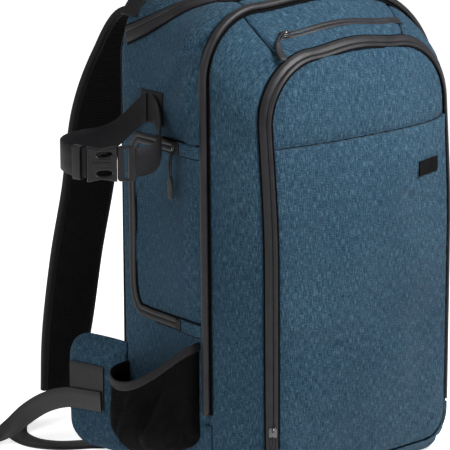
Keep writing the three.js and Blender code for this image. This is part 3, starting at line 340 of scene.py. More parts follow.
cloth = clothMaterial("blueMelange")
coated = coatedMaterial()
webbingTones = {
    # darkest and lightest colour, roughness, specular level
    "webbing": ((0.004, 0.004, 0.0048), (0.013, 0.013, 0.0145), 0.55, 0.1),
    "glossyWebbing": ((0.010, 0.010, 0.011), (0.024, 0.024, 0.026), 0.36, 0.25),
    # next: near-black, for the strips under the bands that paint the shadow along their edges
    "underTape": ((0.0012, 0.0012, 0.0015), (0.004, 0.004, 0.0045), 0.8, 0.03),
}
webbing, glossyWebbing, underTape = (webbingMaterial(name, *look) for name, look in webbingTones.items())
spacer = spacerMaterial()
netClothAndShade = netClothAndShadeMaterial()
plainTones = {
    # darkest and lightest colour, roughness, scale and height of the grain, specular level
    "buckleNylon": ((0.005, 0.005, 0.006), (0.009, 0.009, 0.010), 0.34, 900.0, 0.05 * mm, 0.22),
    "blackMetal": ((0.010, 0.010, 0.011), (0.020, 0.020, 0.022), 0.20, 500.0, 0.03 * mm, 0.9),
    "pullRubber": ((0.008, 0.008, 0.009), (0.015, 0.015, 0.016), 0.50, 1300.0, 0.08 * mm, 0.2),
    "pullCord": ((0.008, 0.008, 0.009), (0.022, 0.022, 0.024), 0.60, 1800.0, 0.25 * mm, 0.15),
    "netYarn": ((0.0012, 0.0012, 0.0015), (0.006, 0.006, 0.0068), 0.60, 2000.0, 0.1 * mm, 0.08),
    "labelCloth": ((0.0012, 0.0012, 0.0015), (0.0035, 0.0035, 0.004), 0.75, 2600.0, 0.15 * mm, 0.05),
    "sewingThread": ((0.010, 0.010, 0.012), (0.030, 0.030, 0.034), 0.60, 2500.0, 0.1 * mm, 0.2),
}
plastic, metal, rubber, pullCord, netYarn, labelCloth, thread = (
    plainMaterial(name, *look) for name, look in plainTones.items())
print("stage: materials")


# Small helpers for shapes
def lerp(a, b, t):
    return a + (b - a) * t


def smooth(value, low, high):
    t = np.clip((value - low) / (high - low), 0, 1)
    return t * t * (3 - 2 * t)


def unit(vectors):
    return vectors / np.maximum(np.linalg.norm(vectors, axis=-1, keepdims=True), 1e-12)


def xyz(x, y, z):
    return np.stack(np.broadcast_arrays(x, y, z), axis=-1).astype(float)


# A smooth curve through the rows of a table, whose first column is where each row lies.
# It keeps a corner at the crease.
def throughRows(rows, at, crease=None):
    rows = np.array(rows, float)
    x, values = rows[:, 0], rows[:, 1:]
    slopes = np.diff(values, axis=0) / np.diff(x)[:, None]
    product = slopes[:-1] * slopes[1:]
    total = np.where(product > 0, slopes[:-1] + slopes[1:], 1)
    middle = np.where(product > 0, 2 * product / total, 0)
    arriving = np.vstack([slopes[:1], middle, slopes[-1:]])
    leaving = arriving.copy()
    if crease is not None:
        corner = int(np.argmin(abs(x - crease)))
        arriving[corner], leaving[corner] = slopes[corner - 1], slopes[corner]
    at = np.clip(np.asarray(at, float), x[0], x[-1])
    row = np.clip(np.searchsorted(x, at, side="right") - 1, 0, len(x) - 2)
    length = (x[row + 1] - x[row])[..., None]
    t = ((at - x[row]) / (x[row + 1] - x[row]))[..., None]
    return ((1 + 2 * t) * (1 - t) ** 2 * values[row] + t * (1 - t) ** 2 * length * leaving[row]
            + t * t * (3 - 2 * t) * values[row + 1] + t * t * (t - 1) * length * arriving[row + 1])


# Points evenly placed on a smooth curve through a few stops
def curveThrough(stops, count):
    stops = np.array(stops, float)
    first, last = 2 * stops[0] - stops[1], 2 * stops[-1] - stops[-2]
    padded = np.vstack([first, stops, last])
    fine = []
    for i in range(len(stops) - 1):
        p0, p1, p2, p3 = padded[i:i + 4]
        d0, d1, d2 = (max(np.linalg.norm(b[:3] - a[:3]), 1e-9) ** 0.5
                      for a, b in ((p0, p1), (p1, p2), (p2, p3)))
        start = ((p1 - p0) / d0 - (p2 - p0) / (d0 + d1) + (p2 - p1) / d1) * d1
        end = ((p2 - p1) / d1 - (p3 - p1) / (d1 + d2) + (p3 - p2) / d2) * d1
        t = np.linspace(0, 1, 24, endpoint=i == len(stops) - 2)[:, None]
        fine.append((2 * t**3 - 3 * t**2 + 1) * p1 + (t**3 - 2 * t**2 + t) * start
                    + (3 * t**2 - 2 * t**3) * p2 + (t**3 - t**2) * end)
    fine = np.vstack(fine)
    travelled = np.concatenate([[0], np.cumsum(np.linalg.norm(np.diff(fine[:, :3], axis=0), axis=1))])
    wanted = np.linspace(0, travelled[-1], count + 1)
    return np.stack([np.interp(wanted, travelled, column) for column in fine.T], axis=1)


# Slow soft waves over a surface, with a spread of about 1
def softNoise(points, wave, seed, waves=14):
    random = np.random.default_rng(seed)
    total = np.zeros(points.shape[:-1])
    for _ in range(waves):
        direction = unit(random.normal(size=3))
        length = wave * random.uniform(0.6, 1.7)
        total += np.cos(points @ direction * (2 * math.pi / length) + random.uniform(0, 2 * math.pi))
    return total / math.sqrt(waves / 2)


# Makes a mesh from quads and end caps, facing outwards, with a metre-true UV map for its weave
def buildMesh(name, points, quads, quadUvs, caps=(), sharpAngle=None):
    points = np.asarray(points, float).reshape(-1, 3)
    a, b, c, d = (points[quads[:, k]] for k in range(4))
    volume = np.sum(a * np.cross(b, c)) + np.sum(a * np.cross(c, d))
    for cap in caps:
        ring = points[list(cap)]
        volume += sum(np.dot(ring[0], np.cross(ring[k], ring[k + 1])) for k in range(1, len(ring) - 1))
    if volume < 0:
        quads, quadUvs = quads[:, ::-1], quadUvs[:, ::-1]
        caps = [list(cap)[::-1] for cap in caps]
    mesh = bpy.data.meshes.new(name)
    mesh.from_pydata(points.tolist(), [], quads.tolist() + [list(cap) for cap in caps])
    layer = mesh.uv_layers.new(name="weave")
    capCorners = sum(len(cap) for cap in caps)
    flat = np.concatenate([quadUvs.reshape(-1, 2), np.zeros((capCorners, 2))])
    layer.data.foreach_set("uv", flat.astype(np.float32).ravel())
    mesh.shade_smooth()
    if sharpAngle:
        mesh.set_sharp_from_angle(angle=math.radians(sharpAngle))
    mesh.validate()
    return mesh


def addPiece(name, mesh, material, nodes=()):
    mesh.name = name
    mesh.materials.clear()
    mesh.materials.append(material)
    piece = bpy.data.objects.new(name, mesh)
    scene.collection.objects.link(piece)
    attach(piece, "root")
    if nodes:
        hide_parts(*nodes)
    return piece


# A closed slab from two grids of points and one grid of weave coordinates
def slabMesh(name, outer, inner, uvs, sharpAngle=None):
    columns, rows = outer.shape[:2]
    number = np.arange(2 * columns * rows).reshape(2, columns, rows)
    face, back = number

    def strip(p, q, r, s):
        return np.stack([p.ravel(), q.ravel(), r.ravel(), s.ravel()], axis=1)

    quads = np.concatenate([
        strip(face[:-1, :-1], face[1:, :-1], face[1:, 1:], face[:-1, 1:]),
        strip(back[:-1, :-1], back[:-1, 1:], back[1:, 1:], back[1:, :-1]),
        strip(back[:-1, 0], back[1:, 0], face[1:, 0], face[:-1, 0]),
        strip(face[:-1, -1], face[1:, -1], back[1:, -1], back[:-1, -1]),
        strip(face[0, :-1], face[0, 1:], back[0, 1:], back[0, :-1]),
        strip(back[-1, :-1], back[-1, 1:], face[-1, 1:], face[-1, :-1]),
    ])
    flat = np.concatenate([uvs.reshape(-1, 2), uvs.reshape(-1, 2)])
    points = np.concatenate([outer.reshape(-1, 3), inner.reshape(-1, 3)])
    return buildMesh(name, points, quads, flat[quads], sharpAngle=sharpAngle)


# A ring of (across, out) points swept along a line, with closed ends
def sweptMesh(name, line, outward, ring, width=1.0, thickness=1.0, sharpAngle=None, sides=None):
    line, ring = np.asarray(line, float), np.asarray(ring, float)
    steps, count = len(line), len(ring)
    tangent = unit(np.gradient(line, axis=0))
    side = unit(np.cross(tangent, np.broadcast_to(outward, line.shape))) if sides is None else sides
    normal = np.broadcast_to(outward, line.shape) if sides is not None else unit(np.cross(side, tangent))
    width = np.broadcast_to(width, steps)[:, None]
    thickness = np.broadcast_to(thickness, steps)[:, None]
    across = (ring[None, :, 0] * width)[..., None] * side[:, None, :]
    out = (ring[None, :, 1] * thickness)[..., None] * normal[:, None, :]
    points = line[:, None, :] + across + out
    number = np.arange(steps * count).reshape(steps, count)
    following = np.roll(number, -1, axis=1)
    quads = np.stack([number[:-1], following[:-1], following[1:], number[1:]], axis=-1).reshape(-1, 4)
    travelled = np.concatenate([[0], np.cumsum(np.linalg.norm(np.diff(line, axis=0), axis=1))])
    closed = np.vstack([ring * [width.mean(), thickness.mean()], ring[:1] * [width.mean(), thickness.mean()]])
    round_ = np.concatenate([[0], np.cumsum(np.linalg.norm(np.diff(closed, axis=0), axis=1))])
    u0, v0 = np.meshgrid(round_[:-1], travelled[:-1])
    u1, v1 = np.meshgrid(round_[1:], travelled[1:])
    uvs = np.stack([np.stack([u0, v0], -1), np.stack([u1, v0], -1),
                    np.stack([u1, v1], -1), np.stack([u0, v1], -1)], axis=2).reshape(-1, 4, 2)
    caps = [list(number[0][::-1]), list(number[-1])]
    return buildMesh(name, points, quads, uvs, caps, sharpAngle)


# Sections for sweeping. Each runs round once.
def tubeRing(sides=12, squareness=2.0):
    angle = 2 * math.pi * (np.arange(sides) + 0.5) / sides
    power = 2 / squareness
    x, y = np.cos(angle), np.sin(angle)
    return np.stack([np.sign(x) * abs(x) ** power, np.sign(y) * abs(y) ** power], axis=1) / 2


def tapeRing(width, thickness, edge=0.35):
    w, t = width / 2, thickness / 2
    e = edge * thickness
    return np.array([(-w + e, -t), (-w / 3, -t), (w / 3, -t), (w - e, -t), (w, -t + e), (w, t - e),
                     (w - e, t), (w / 3, t), (-w / 3, t), (-w + e, t), (-w, t - e), (-w, -t + e)])


# A zip tape: two crowned halves that meet at a narrow slit
def zipRing(width, thickness, slitAt=0.0, slit=1.0 * mm, crown=0.6 * mm):
    low, top = -thickness / 2, thickness / 2
    ring = [(-width / 2, low), (width / 2, low), (width / 2, low + 0.3 * thickness)]
    middle = slitAt * width
    right = np.linspace(width / 2, middle + slit / 2, 7)
    left = np.linspace(middle - slit / 2, -width / 2, 7)
    for half in (right, left):
        share = (half - half[0]) / (half[-1] - half[0])
        bow = np.sin(math.pi * np.clip(share, 0.08, 0.92)) ** 0.6
        ring += [(x, top - 0.45 * thickness + (crown + 0.45 * thickness) * b) for x, b in zip(half, bow)]
        if half is right:
            ring.append((middle, low + 0.25 * thickness))
    ring.append((-width / 2, low + 0.3 * thickness))
    return np.array(ring)


# The bag's outer surface. Shares of the width, height and depth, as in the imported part.
crownRise = 5 * mm
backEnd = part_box("bottom_panel")[1].y
body = {
    "halfWidth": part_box("side_panel_right")[1].x,
    "height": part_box("lid_panel")[1].z - crownRise,
    "backY": backEnd + seamGap / 2,
    "depth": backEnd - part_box("front_gusset_bottom")[0].y + seamGap,
    "edgeShare": 0.72,
    "edgeLean": 7 * mm,
    "frontLean": 12 * mm,
    "wall": 4.5 * mm,
}

sections = (
    # depth, half width, bottom, top, lower corner, upper corner at -X, upper corner at +X
    (0.00, 0.955, 0.016, 0.966, 0.17, 0.34, 0.40),
    (0.06, 0.985, 0.003, 0.990, 0.18, 0.34, 0.42),
    (0.30, 1.000, 0.000, 1.000, 0.18, 0.36, 0.50),
    (0.60, 1.000, 0.000, 0.990, 0.18, 0.39, 0.66),
    (0.72, 0.984, 0.000, 0.977, 0.17, 0.40, 0.74),
    (0.84, 0.920, 0.002, 0.940, 0.17, 0.42, 0.56),
    (0.94, 0.862, 0.010, 0.915, 0.18, 0.43, 0.47),
    (1.00, 0.808, 0.032, 0.905, 0.22, 0.43, 0.44),
)


def sectionAt(depth):
    row = throughRows(sections, depth, body["edgeShare"])
    half, bottom, top, lowRound, leftRound, rightRound = np.moveaxis(row, -1, 0)
    width, height = body["halfWidth"], body["height"]
    return (half * width, bottom * height, top * height,
            lowRound * width, leftRound * width, rightRound * width)


# Places run from 0 at the bottom's middle up the -X side to 5 at the top and down the +X side to 10
def outlineAt(section, place):
    half, bottom, top, lowRound, leftRound, rightRound = section
    turn = np.mod(place, 10.0)
    onLeft = turn <= 5
    p = np.where(onLeft, turn, 10 - turn)
    corner = np.where(onLeft, leftRound, rightRound)
    low = (np.clip(p, 1, 2) - 1) * math.pi / 2
    high = (np.clip(p, 3, 4) - 3) * math.pi / 2
    cases = [p < 1, p < 2, p < 3, p < 4]
    x = np.select(cases, [p * (half - lowRound), half - lowRound + lowRound * np.sin(low), half + 0 * p,
                          half - corner + corner * np.cos(high)], (5 - p) * (half - corner))
    crown = crownRise * (1 - np.clip(5 - p, 0, 1) ** 2) ** 2
    z = np.select(cases, [bottom + 0 * p, bottom + lowRound * (1 - np.cos(low)),
                          lerp(bottom + lowRound, top - corner, p - 2),
                          top - corner + corner * np.sin(high)], top + crown)
    return np.where(onLeft, -x, x), z


def leanAt(depth, z):
    height = z / body["height"]
    edge = body["edgeShare"]
    beyond = np.clip((depth - edge) / (1 - edge), 0, 1)
    return (body["edgeLean"] * height * np.minimum(1, depth / edge)
            + body["frontLean"] * beyond * smooth(height, 0.5, 0.92))


def skinBase(place, depth):
    place, depth = np.broadcast_arrays(np.asarray(place, float), np.asarray(depth, float))
    x, z = outlineAt(sectionAt(depth), place)
    return xyz(x, body["backY"] - depth * body["depth"] + leanAt(depth, z), z)


def skinNormal(place, depth, span=(0.0, 1.0)):
    step = 0.012
    along = skinBase(place + step, depth) - skinBase(place - step, depth)
    near, far = np.maximum(span[0], depth - step), np.minimum(span[1], depth + step)
    return unit(np.cross(skinBase(place, far) - skinBase(place, near), along))


def skin(place, depth, lift=0.0, span=(0.0, 1.0)):
    return skinBase(place, depth) + skinNormal(place, depth, span) * np.asarray(lift, float)[..., None]


def mirrored(place):
    return 10 - place


# Where the lid's zip runs: its place at each depth
lidFront = {"depth": 0.56, "place": 4.0}
lidSeam = ((0.00, 3.08), (0.15, 3.17), (0.31, 3.35), (0.45, 3.67), (0.52, 3.86), (0.56, 4.00))


def lidPlace(depth):
    return throughRows(lidSeam, depth)[..., 0]


def sidePlaceAt(z, depth):
    section = sectionAt(depth)
    low, high = section[1] + section[3], section[2] - section[4]
    return 2 + (z - low) / (high - low)


# Air in a padded piece swells its cloth between its seams. Slack is how much longer the cloth is
# than the surface it covers, which gives the small puckers along the seams.
inflation = {"frames": 12, "pressure": 3.0, "slack": 0.012, "cap": 3.0 * mm, "tension": 12.0, "bending": 0.25,
             "quality": 4, "mass": 0.05}


def inflated(mesh, free, strength=1.0):
    start = np.empty(len(mesh.vertices) * 3)
    mesh.vertices.foreach_get("co", start)
    start = start.reshape(-1, 3)
    carrier = bpy.data.objects.new("carrier", mesh)
    scene.collection.objects.link(carrier)
    seams = carrier.vertex_groups.new(name="seams")
    seams.add(np.flatnonzero(~free).tolist(), 1.0, "REPLACE")
    air = carrier.modifiers.new("air", "CLOTH")
    settings = air.settings
    settings.quality = inflation["quality"]
    settings.mass = inflation["mass"]
    settings.tension_stiffness = settings.compression_stiffness = inflation["tension"]
    settings.shear_stiffness = inflation["tension"] / 3
    settings.bending_stiffness = inflation["bending"]
    settings.vertex_group_mass = seams.name
    settings.use_pressure = True
    settings.uniform_pressure_force = inflation["pressure"] * strength
    settings.shrink_min = -inflation["slack"] * strength
    settings.effector_weights.gravity = 0.0
    air.collision_settings.use_collision = False
    air.point_cache.frame_start = 1
    air.point_cache.frame_end = inflation["frames"]
    for frameNumber in range(1, inflation["frames"] + 1):
        scene.frame_set(frameNumber)
    graph = bpy.context.evaluated_depsgraph_get()
    result = carrier.evaluated_get(graph).to_mesh()
    end = np.empty(len(result.vertices) * 3)
    result.vertices.foreach_get("co", end)
    moved = end.reshape(-1, 3) - start
    distance = np.linalg.norm(moved, axis=1, keepdims=True)
    cap = inflation["cap"] * strength
    settled = start + moved * (cap * np.tanh(distance / cap) / np.maximum(distance, 1e-9))
    bpy.data.objects.remove(carrier)
    scene.frame_set(1)
    mesh.vertices.foreach_set("co", settled.ravel())
    mesh.update()
    print("swelled", mesh.name, "by up to", round(float(distance.max() / mm), 2), "mm before its limit")


# The vertices of a slab's face that lie more than so many cells inside its edges
def insideFace(columns, rows, border):
    free = np.zeros((2, columns, rows), bool)
    free[0, border:columns - border, border:rows - border] = True
    return free.ravel()


# Cloth panels
panelLook = {
    "cell": 3.0 * mm,
    "rollDepth": 1.7 * mm, "rollReach": 2.6 * mm,        # the edge turns in at its seam
    "swell": 1.0 * mm, "swellReach": 18 * mm,            # the padding lifts the cloth off its seams
    "pucker": 0.30 * mm, "puckerWave": 13 * mm, "puckerReach": 9 * mm,
    "dent": 0.7 * mm, "dentWave": 95 * mm, "dentReach": 26 * mm,
    "floorGap": 0.1 * mm, "foldReach": 6 * mm,
    "pinned": 3,                                         # cells along the seams that air can't lift
}

# Diagonal folds of the side, which fan out behind the top of the front edge
sideFolds = (
    # from depth, from height, to depth, to height, width, push
    (0.70, 0.965, 0.36, 0.835, 7.0 * mm, 3.4 * mm),
    (0.69, 0.925, 0.38, 0.800, 8.0 * mm, -4.0 * mm),
    (0.69, 0.885, 0.45, 0.765, 8.0 * mm, 3.3 * mm),
    (0.69, 0.840, 0.52, 0.725, 8.0 * mm, -3.8 * mm),
    (0.69, 0.790, 0.58, 0.705, 7.0 * mm, 2.2 * mm),
    (0.44, 0.940, 0.30, 0.880, 7.0 * mm, 2.2 * mm),
)


def arcs(points):
    along = np.linalg.norm(np.diff(points, axis=0), axis=-1)
    up = np.linalg.norm(np.diff(points, axis=1), axis=-1)
    first = np.concatenate([np.zeros((1, points.shape[1])), np.cumsum(along, axis=0)])
    second = np.concatenate([np.zeros((points.shape[0], 1)), np.cumsum(up, axis=1)], axis=1)
    return first, second


def ripple(distance, wave, seed):
    turn = 2 * math.pi * distance / wave
    return np.sin(turn + 1.7 * np.sin(turn / 3.7 + seed)) * (0.6 + 0.4 * np.sin(turn / 5.3 + 2 * seed))


# How far a panel's face stands off its plain surface
def panelLift(points, seed, dent=1.0):
    look = panelLook
    first, second = arcs(points)
    d1 = np.minimum(first, first[-1:] - first)
    d2 = np.minimum(second, second[:, -1:] - second)
    nearest = np.minimum(d1, d2)
    reach = look["rollReach"]
    roll = 1 - (1 - np.exp(-(d1 / reach) ** 2)) * (1 - np.exp(-(d2 / reach) ** 2))
    lift = look["swell"] * (1 - np.exp(-nearest / look["swellReach"])) - look["rollDepth"] * roll
    wave, reach = look["puckerWave"], look["puckerReach"]
    lift += look["pucker"] * (np.exp(-d1 / reach) * ripple(second, wave, seed)
                              + np.exp(-d2 / reach) * ripple(first, wave, seed + 1))
    fade = 1 - np.exp(-nearest / look["dentReach"])
    lift += dent * look["dent"] * fade * softNoise(points, look["dentWave"], seed)
    return lift, second, nearest


def foldLift(depth, z, nearest):
    lift = np.zeros(depth.shape)
    for fromDepth, fromHeight, toDepth, toHeight, width, push in sideFolds:
        start = np.array([fromDepth * body["depth"], fromHeight * body["height"]])
        way = np.array([toDepth * body["depth"], toHeight * body["height"]]) - start
        px, pz = depth * body["depth"] - start[0], z - start[1]
        along = np.clip((px * way[0] + pz * way[1]) / (way @ way), 0, 1)
        across = np.hypot(px - along * way[0], pz - along * way[1])
        taper = np.sin(math.pi * np.clip(0.12 + 0.88 * along, 0, 1))
        lift += push * np.exp(-(across / width) ** 2) * taper
    return lift * (1 - np.exp(-nearest / panelLook["foldReach"]))


def wallPanel(name, node, placeFrom, placeTo, span, seed, upright, folded=False, cell=None, dent=1.0,
              swelling=None):
    cell = cell or panelLook["cell"]
    gap = seamGap / 2 / body["depth"]
    low, high = span[0] + gap, span[1] - gap
    depth = np.linspace(low, high, max(4, round((high - low) * body["depth"] / cell)) + 1)
    start, end = placeFrom(depth), placeTo(depth)
    middle = len(depth) // 2
    probe = skinBase(np.linspace(start[middle], end[middle], 400), depth[middle])
    travelled = np.concatenate([[0], np.cumsum(np.linalg.norm(np.diff(probe, axis=0), axis=1))])
    columns = max(4, round(travelled[-1] / cell)) + 1
    share = np.interp(np.linspace(0, travelled[-1], columns), travelled, np.linspace(0, 1, 400))
    place = lerp(start[None, :], end[None, :], share[:, None])
    depths = np.broadcast_to(depth, place.shape)
    base = skinBase(place, depths)
    normal = skinNormal(place, depths, span)
    lift, second, nearest = panelLift(base, seed, dent)
    if folded:
        lift = lift + foldLift(depths, base[..., 2], nearest)
    # The threads run straight round the body and straight from front to back
    ends = np.concatenate([start, end])
    around = np.linspace(ends.min(), ends.max(), 400)
    steps = np.linalg.norm(np.diff(skinBase(around, depth[middle]), axis=0), axis=1)
    first = np.interp(place, around, np.concatenate([[0], np.cumsum(steps)]))
    second = np.broadcast_to(second[columns // 2], place.shape)
    uvs = np.stack([second, first] if upright else [first, second], axis=-1)
    outer, inner = base + normal * lift[..., None], base - normal * body["wall"]
    for layer in (outer, inner):
        layer[..., 2] = np.maximum(layer[..., 2], panelLook["floorGap"])
    mesh = slabMesh(name, outer, inner, uvs)
    if swelling:
        inflated(mesh, insideFace(*place.shape, panelLook["pinned"]), swelling)
    return addPiece(name, mesh, cloth, [node])


def always(place):
    return lambda depth: np.full(np.shape(depth), float(place))


def turned(seam):
    return lambda depth: mirrored(seam(depth))


bottomSeam = 1.5
placeGap = 0.007  # half a seam in a corner, as a place
edgeShare = body["edgeShare"]


def frontShare(depth):
    return (depth - edgeShare) / (1 - edgeShare)


# Seams between the gusset's top and its sides, from the edge trim to the face
def topSeamLeft(depth):
    return lerp(3.84, 3.72, frontShare(depth))


def topSeamRight(depth):
    return mirrored(lerp(3.72, 3.91, frontShare(depth)))


def sideTop(depth):
    return np.where(depth > lidFront["depth"], lidFront["place"], lidPlace(depth)) - placeGap


def lidEdge(depth):
    return lidPlace(depth) + placeGap


rear, front = (0, edgeShare), (edgeShare, 1)
sideFoot, bottomEdge, lidEnd = (always(place) for place in (
    bottomSeam + placeGap, bottomSeam - placeGap, lidFront["place"] + placeGap))
wallPanel("sidePanelLeft", "side_panel_left", sideFoot, sideTop, rear, 3, True, folded=True)
wallPanel("sidePanelRight", "side_panel_right", turned(sideFoot), turned(sideTop), rear, 8, True, folded=True)
wallPanel("bottomPanel", "bottom_panel", always(placeGap - bottomSeam), bottomEdge, rear, 5, False,
          cell=5 * mm, dent=0.3)
wallPanel("lidPanel", "lid_panel", lidEdge, turned(lidEdge), (0, lidFront["depth"]), 12, False, swelling=0.6)
wallPanel("topEdgePanel", "top_edge_panel", lidEnd, turned(lidEnd), (lidFront["depth"], edgeShare), 14, False,
          dent=0.6)
wallPanel("frontGussetLeft", "front_gusset_left", sideFoot, lambda depth: topSeamLeft(depth) - placeGap,
          front, 21, True, dent=0.9, swelling=0.7)
wallPanel("frontGussetRight", "front_gusset_right", turned(sideFoot),
          lambda depth: topSeamRight(depth) + placeGap, front, 27, True, dent=0.9, swelling=0.7)
wallPanel("frontGussetTop", "front_gusset_top", lambda depth: topSeamLeft(depth) + placeGap,
          lambda depth: topSeamRight(depth) - placeGap, front, 31, False, dent=0.9)
wallPanel("frontGussetBottom", "front_gusset_bottom", always(placeGap - bottomSeam), bottomEdge, front, 33,
          False, cell=4 * mm, dent=0.4)
print("stage: body panels")

# Front face, in two panels: the slip pocket below and the upper panel behind its open edge
face = {
    "bulge": 12 * mm, "inset": 9.5 * mm, "step": 8.5 * mm, "wall": 4 * mm,
    "pocketEdge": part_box("front_lower_panel")[1].z, "lip": 2.2 * mm, "lipReach": 10 * mm,
    "sinkBehindLip": 2.6 * mm, "sinkReach": 26 * mm, "hook": 5 * mm, "hookReach": 9 * mm, "cell": 3.0 * mm,
    "hillReach": 14 * mm,
    # across, height, reach and push of the soft hills and hollows of the filled pockets
    "hills": ((-45 * mm, 460 * mm, 38 * mm, 4.6 * mm), (42 * mm, 452 * mm, 34 * mm, 3.2 * mm),
              (-28 * mm, 402 * mm, 22 * mm, -1.0 * mm), (-92 * mm, 190 * mm, 18 * mm, 2.6 * mm),
              (-96 * mm, 110 * mm, 20 * mm, 2.2 * mm), (-10 * mm, 250 * mm, 60 * mm, 2.4 * mm),
              (70 * mm, 320 * mm, 36 * mm, 2.0 * mm), (60 * mm, 120 * mm, 46 * mm, 2.8 * mm)),
}
# Its outline lies inside the gusset's: half width, bottom, top and the three corner radii
faceOutline = [float(value) + change * face["inset"]
               for value, change in zip(sectionAt(np.array(1.0)), (-1, 1, -1, -0.5, -0.5, -0.5))]
faceHalf, faceBottom, faceTop, faceLow, faceLeft, faceRight = faceOutline


def faceHalfAt(z, corner):
    rise = np.clip(z - (faceTop - corner), 0, corner)
    drop = np.clip(faceBottom + faceLow - z, 0, faceLow)
    return faceHalf - corner + np.sqrt(corner**2 - rise**2) - faceLow + np.sqrt(faceLow**2 - drop**2)


def facePoint(x, z, lift=0.0):
    across = np.minimum(1, abs(x) / faceHalf)
    up = np.minimum(1, abs(2 * (z - faceBottom) / (faceTop - faceBottom) - 1))
    swell = face["bulge"] * (1 - across**2.4) * (1 - up**5)
    y = body["backY"] - body["depth"] + leanAt(1.0, z) - face["step"] - swell - lift
    return xyz(x, y, z)


def facePanel(name, node, zFrom, zTo, crown, seed, liftOf, hookAt):
    rows = round((zTo - zFrom) / face["cell"]) + 1
    columns = round(2 * faceHalf / face["cell"]) + 1
    u = np.linspace(0, 1, columns)[:, None]
    v = np.linspace(0, 1, rows)[None, :]
    level = lerp(zFrom, zTo, v) + 0 * u
    x = lerp(-faceHalfAt(level, faceLeft), faceHalfAt(level, faceRight), u)
    z = level + crown * v * (1 - (2 * u - 1) ** 2)
    z = z + face["hook"] * np.exp(-((1 - u) * 2 * faceHalf / face["hookReach"])) * hookAt(v)
    base = facePoint(x, z)
    lift, second, nearest = panelLift(base, seed)
    lift = lift + liftOf(second, second[:, -1:] - second)
    for across, height, reach, push in face["hills"]:
        hill = push * np.exp(-((x - across) ** 2 + (z - height) ** 2) / reach**2)
        lift = lift + hill * (1 - np.exp(-nearest / face["hillReach"]))
    uvs = np.stack([x, z], axis=-1)
    mesh = slabMesh(name, facePoint(x, z, lift), facePoint(x, z, -face["wall"]), uvs)
    inflated(mesh, insideFace(columns, rows, panelLook["pinned"]))
    return addPiece(name, mesh, cloth, [node])


facePanel("frontUpperPanel", "front_upper_panel", face["pocketEdge"] + seamGap, faceTop, crownRise, 41,
          lambda low, high: -face["sinkBehindLip"] * np.exp(-low / face["sinkReach"]),
          lambda v: np.clip(1 - 4 * v, 0, 1))
slipPocket = facePanel("frontLowerPanel", "front_lower_panel", faceBottom, face["pocketEdge"], 0, 44,
                       lambda low, high: face["lip"] * np.exp(-high / face["lipReach"]),
                       lambda v: np.clip(4 * v - 3, 0, 1))
print("stage: front face")

# Tapes and trims
trimLook = {
    "pipe": (8.0 * mm, 6.0 * mm), "tape": 1.2 * mm, "clearance": 0.9 * mm, "lidWidth": 17 * mm,
    "frontWidth": 12.5 * mm, "pocketWidth": 8 * mm, "doorWidth": 11 * mm, "stripWidth": 13 * mm,
    # the first three on the line below size the near-black strips of painted shadow under the bands: how far
    # they show, their lift and their thickness
    "underShow": 2.0 * mm, "underLift": 0.75 * mm, "underTape": 0.5 * mm, "step": 3.0 * mm, "slopeSteps": 320,
    "footFold": (8.0 * mm, 2.2 * mm), "footFoldLift": 0.9 * mm, "footFoldPlaces": (1.62, 1.80, 1.98, 2.13),
    "tabLength": 8 * mm, "tabThickness": 1.0 * mm,
}


# Points and outward directions on the skin along a path of places and depths
def skinPath(path, lift, span=(0.0, 1.0)):
    stops = skin(np.array([place for place, _ in path]), np.array([depth for _, depth in path]))
    length = np.sum(np.linalg.norm(np.diff(stops, axis=0), axis=1))
    scale = np.array([0.1, body["depth"]])
    even = curveThrough(np.array(path) * scale, max(8, round(length / trimLook["step"]))) / scale
    place, depth = even[:, 0], even[:, 1]
    return skin(place, depth, np.full(len(place), lift), span), skinNormal(place, depth, span)


def skinTape(name, node, path, ring, material, lift, sharpAngle=40):
    line, outward = skinPath(path, lift)
    mesh = sweptMesh(name, line, outward, ring, sharpAngle=sharpAngle)
    return addPiece(name, mesh, material, [node] if node else [])


def evenPlaces(start, end, count, depth):
    return [(lerp(start, end, i / count), depth) for i in range(count + 1)]


# A near-black strip under a band, showing as a fine dark line on both its sides: painted shadow along the
# band's edges
def shadowTapeUnder(name, path, width):
    skinTape(name, None, path, tapeRing(width + 2 * trimLook["underShow"], trimLook["underTape"]), underTape,
             trimLook["underLift"])


trimFoot = 2.16
pipeWidth, pipeHeight = trimLook["pipe"]
edgePath = evenPlaces(trimFoot, mirrored(trimFoot), 60, edgeShare)
# painted shadow along both edges of the edge trim
shadowTapeUnder("edgeTrimTape", edgePath, pipeWidth)
skinTape("edgeTrim", "edge_trim", edgePath,
         tubeRing(16) * [pipeWidth, pipeHeight], coated,
         trimLook["clearance"] + pipeHeight / 2, None)

bandLift = trimLook["clearance"] + trimLook["tape"] / 2
lidHalf = [(float(lidPlace(d)), d) for d in (0.08, 0.15, 0.26, 0.36, 0.44, 0.50, 0.535)]
lidHalf += [(place, lidFront["depth"]) for place in (3.93, 4.3, 4.65)]
lidWhole = lidHalf + [(5.0, lidFront["depth"])] + [(mirrored(p), d) for p, d in reversed(lidHalf)]
# painted shadow along both edges of the lid zip
shadowTapeUnder("lidZipTape", lidWhole, trimLook["lidWidth"])
skinTape("lidZipBand", "lid_zip_band", lidWhole, zipRing(trimLook["lidWidth"], trimLook["tape"], -0.12),
         coated, bandLift)
topDepth = 0.885
skinTape("topPocketZip", "top_pocket_zip", evenPlaces(3.93, mirrored(3.83), 8, topDepth),
         zipRing(trimLook["pocketWidth"], trimLook["tape"], 0.0, 0.7 * mm, 0.3 * mm), coated,
         seamGap + trimLook["tape"] / 2)


# The slope between the front gusset and the face, where the front zip lies
def slopeLine(start, end, steps, lift):
    place = np.linspace(start, end, steps + 1)
    outer = skinBase(place, 1.0)
    x, z = outlineAt([np.full(place.shape, value) for value in faceOutline], place)
    inner = facePoint(x, z)
    side = unit(inner - outer)
    middle = (inner + outer) / 2
    normal = unit(np.cross(side, np.gradient(middle, axis=0)))
    return middle + normal * lift, normal, side


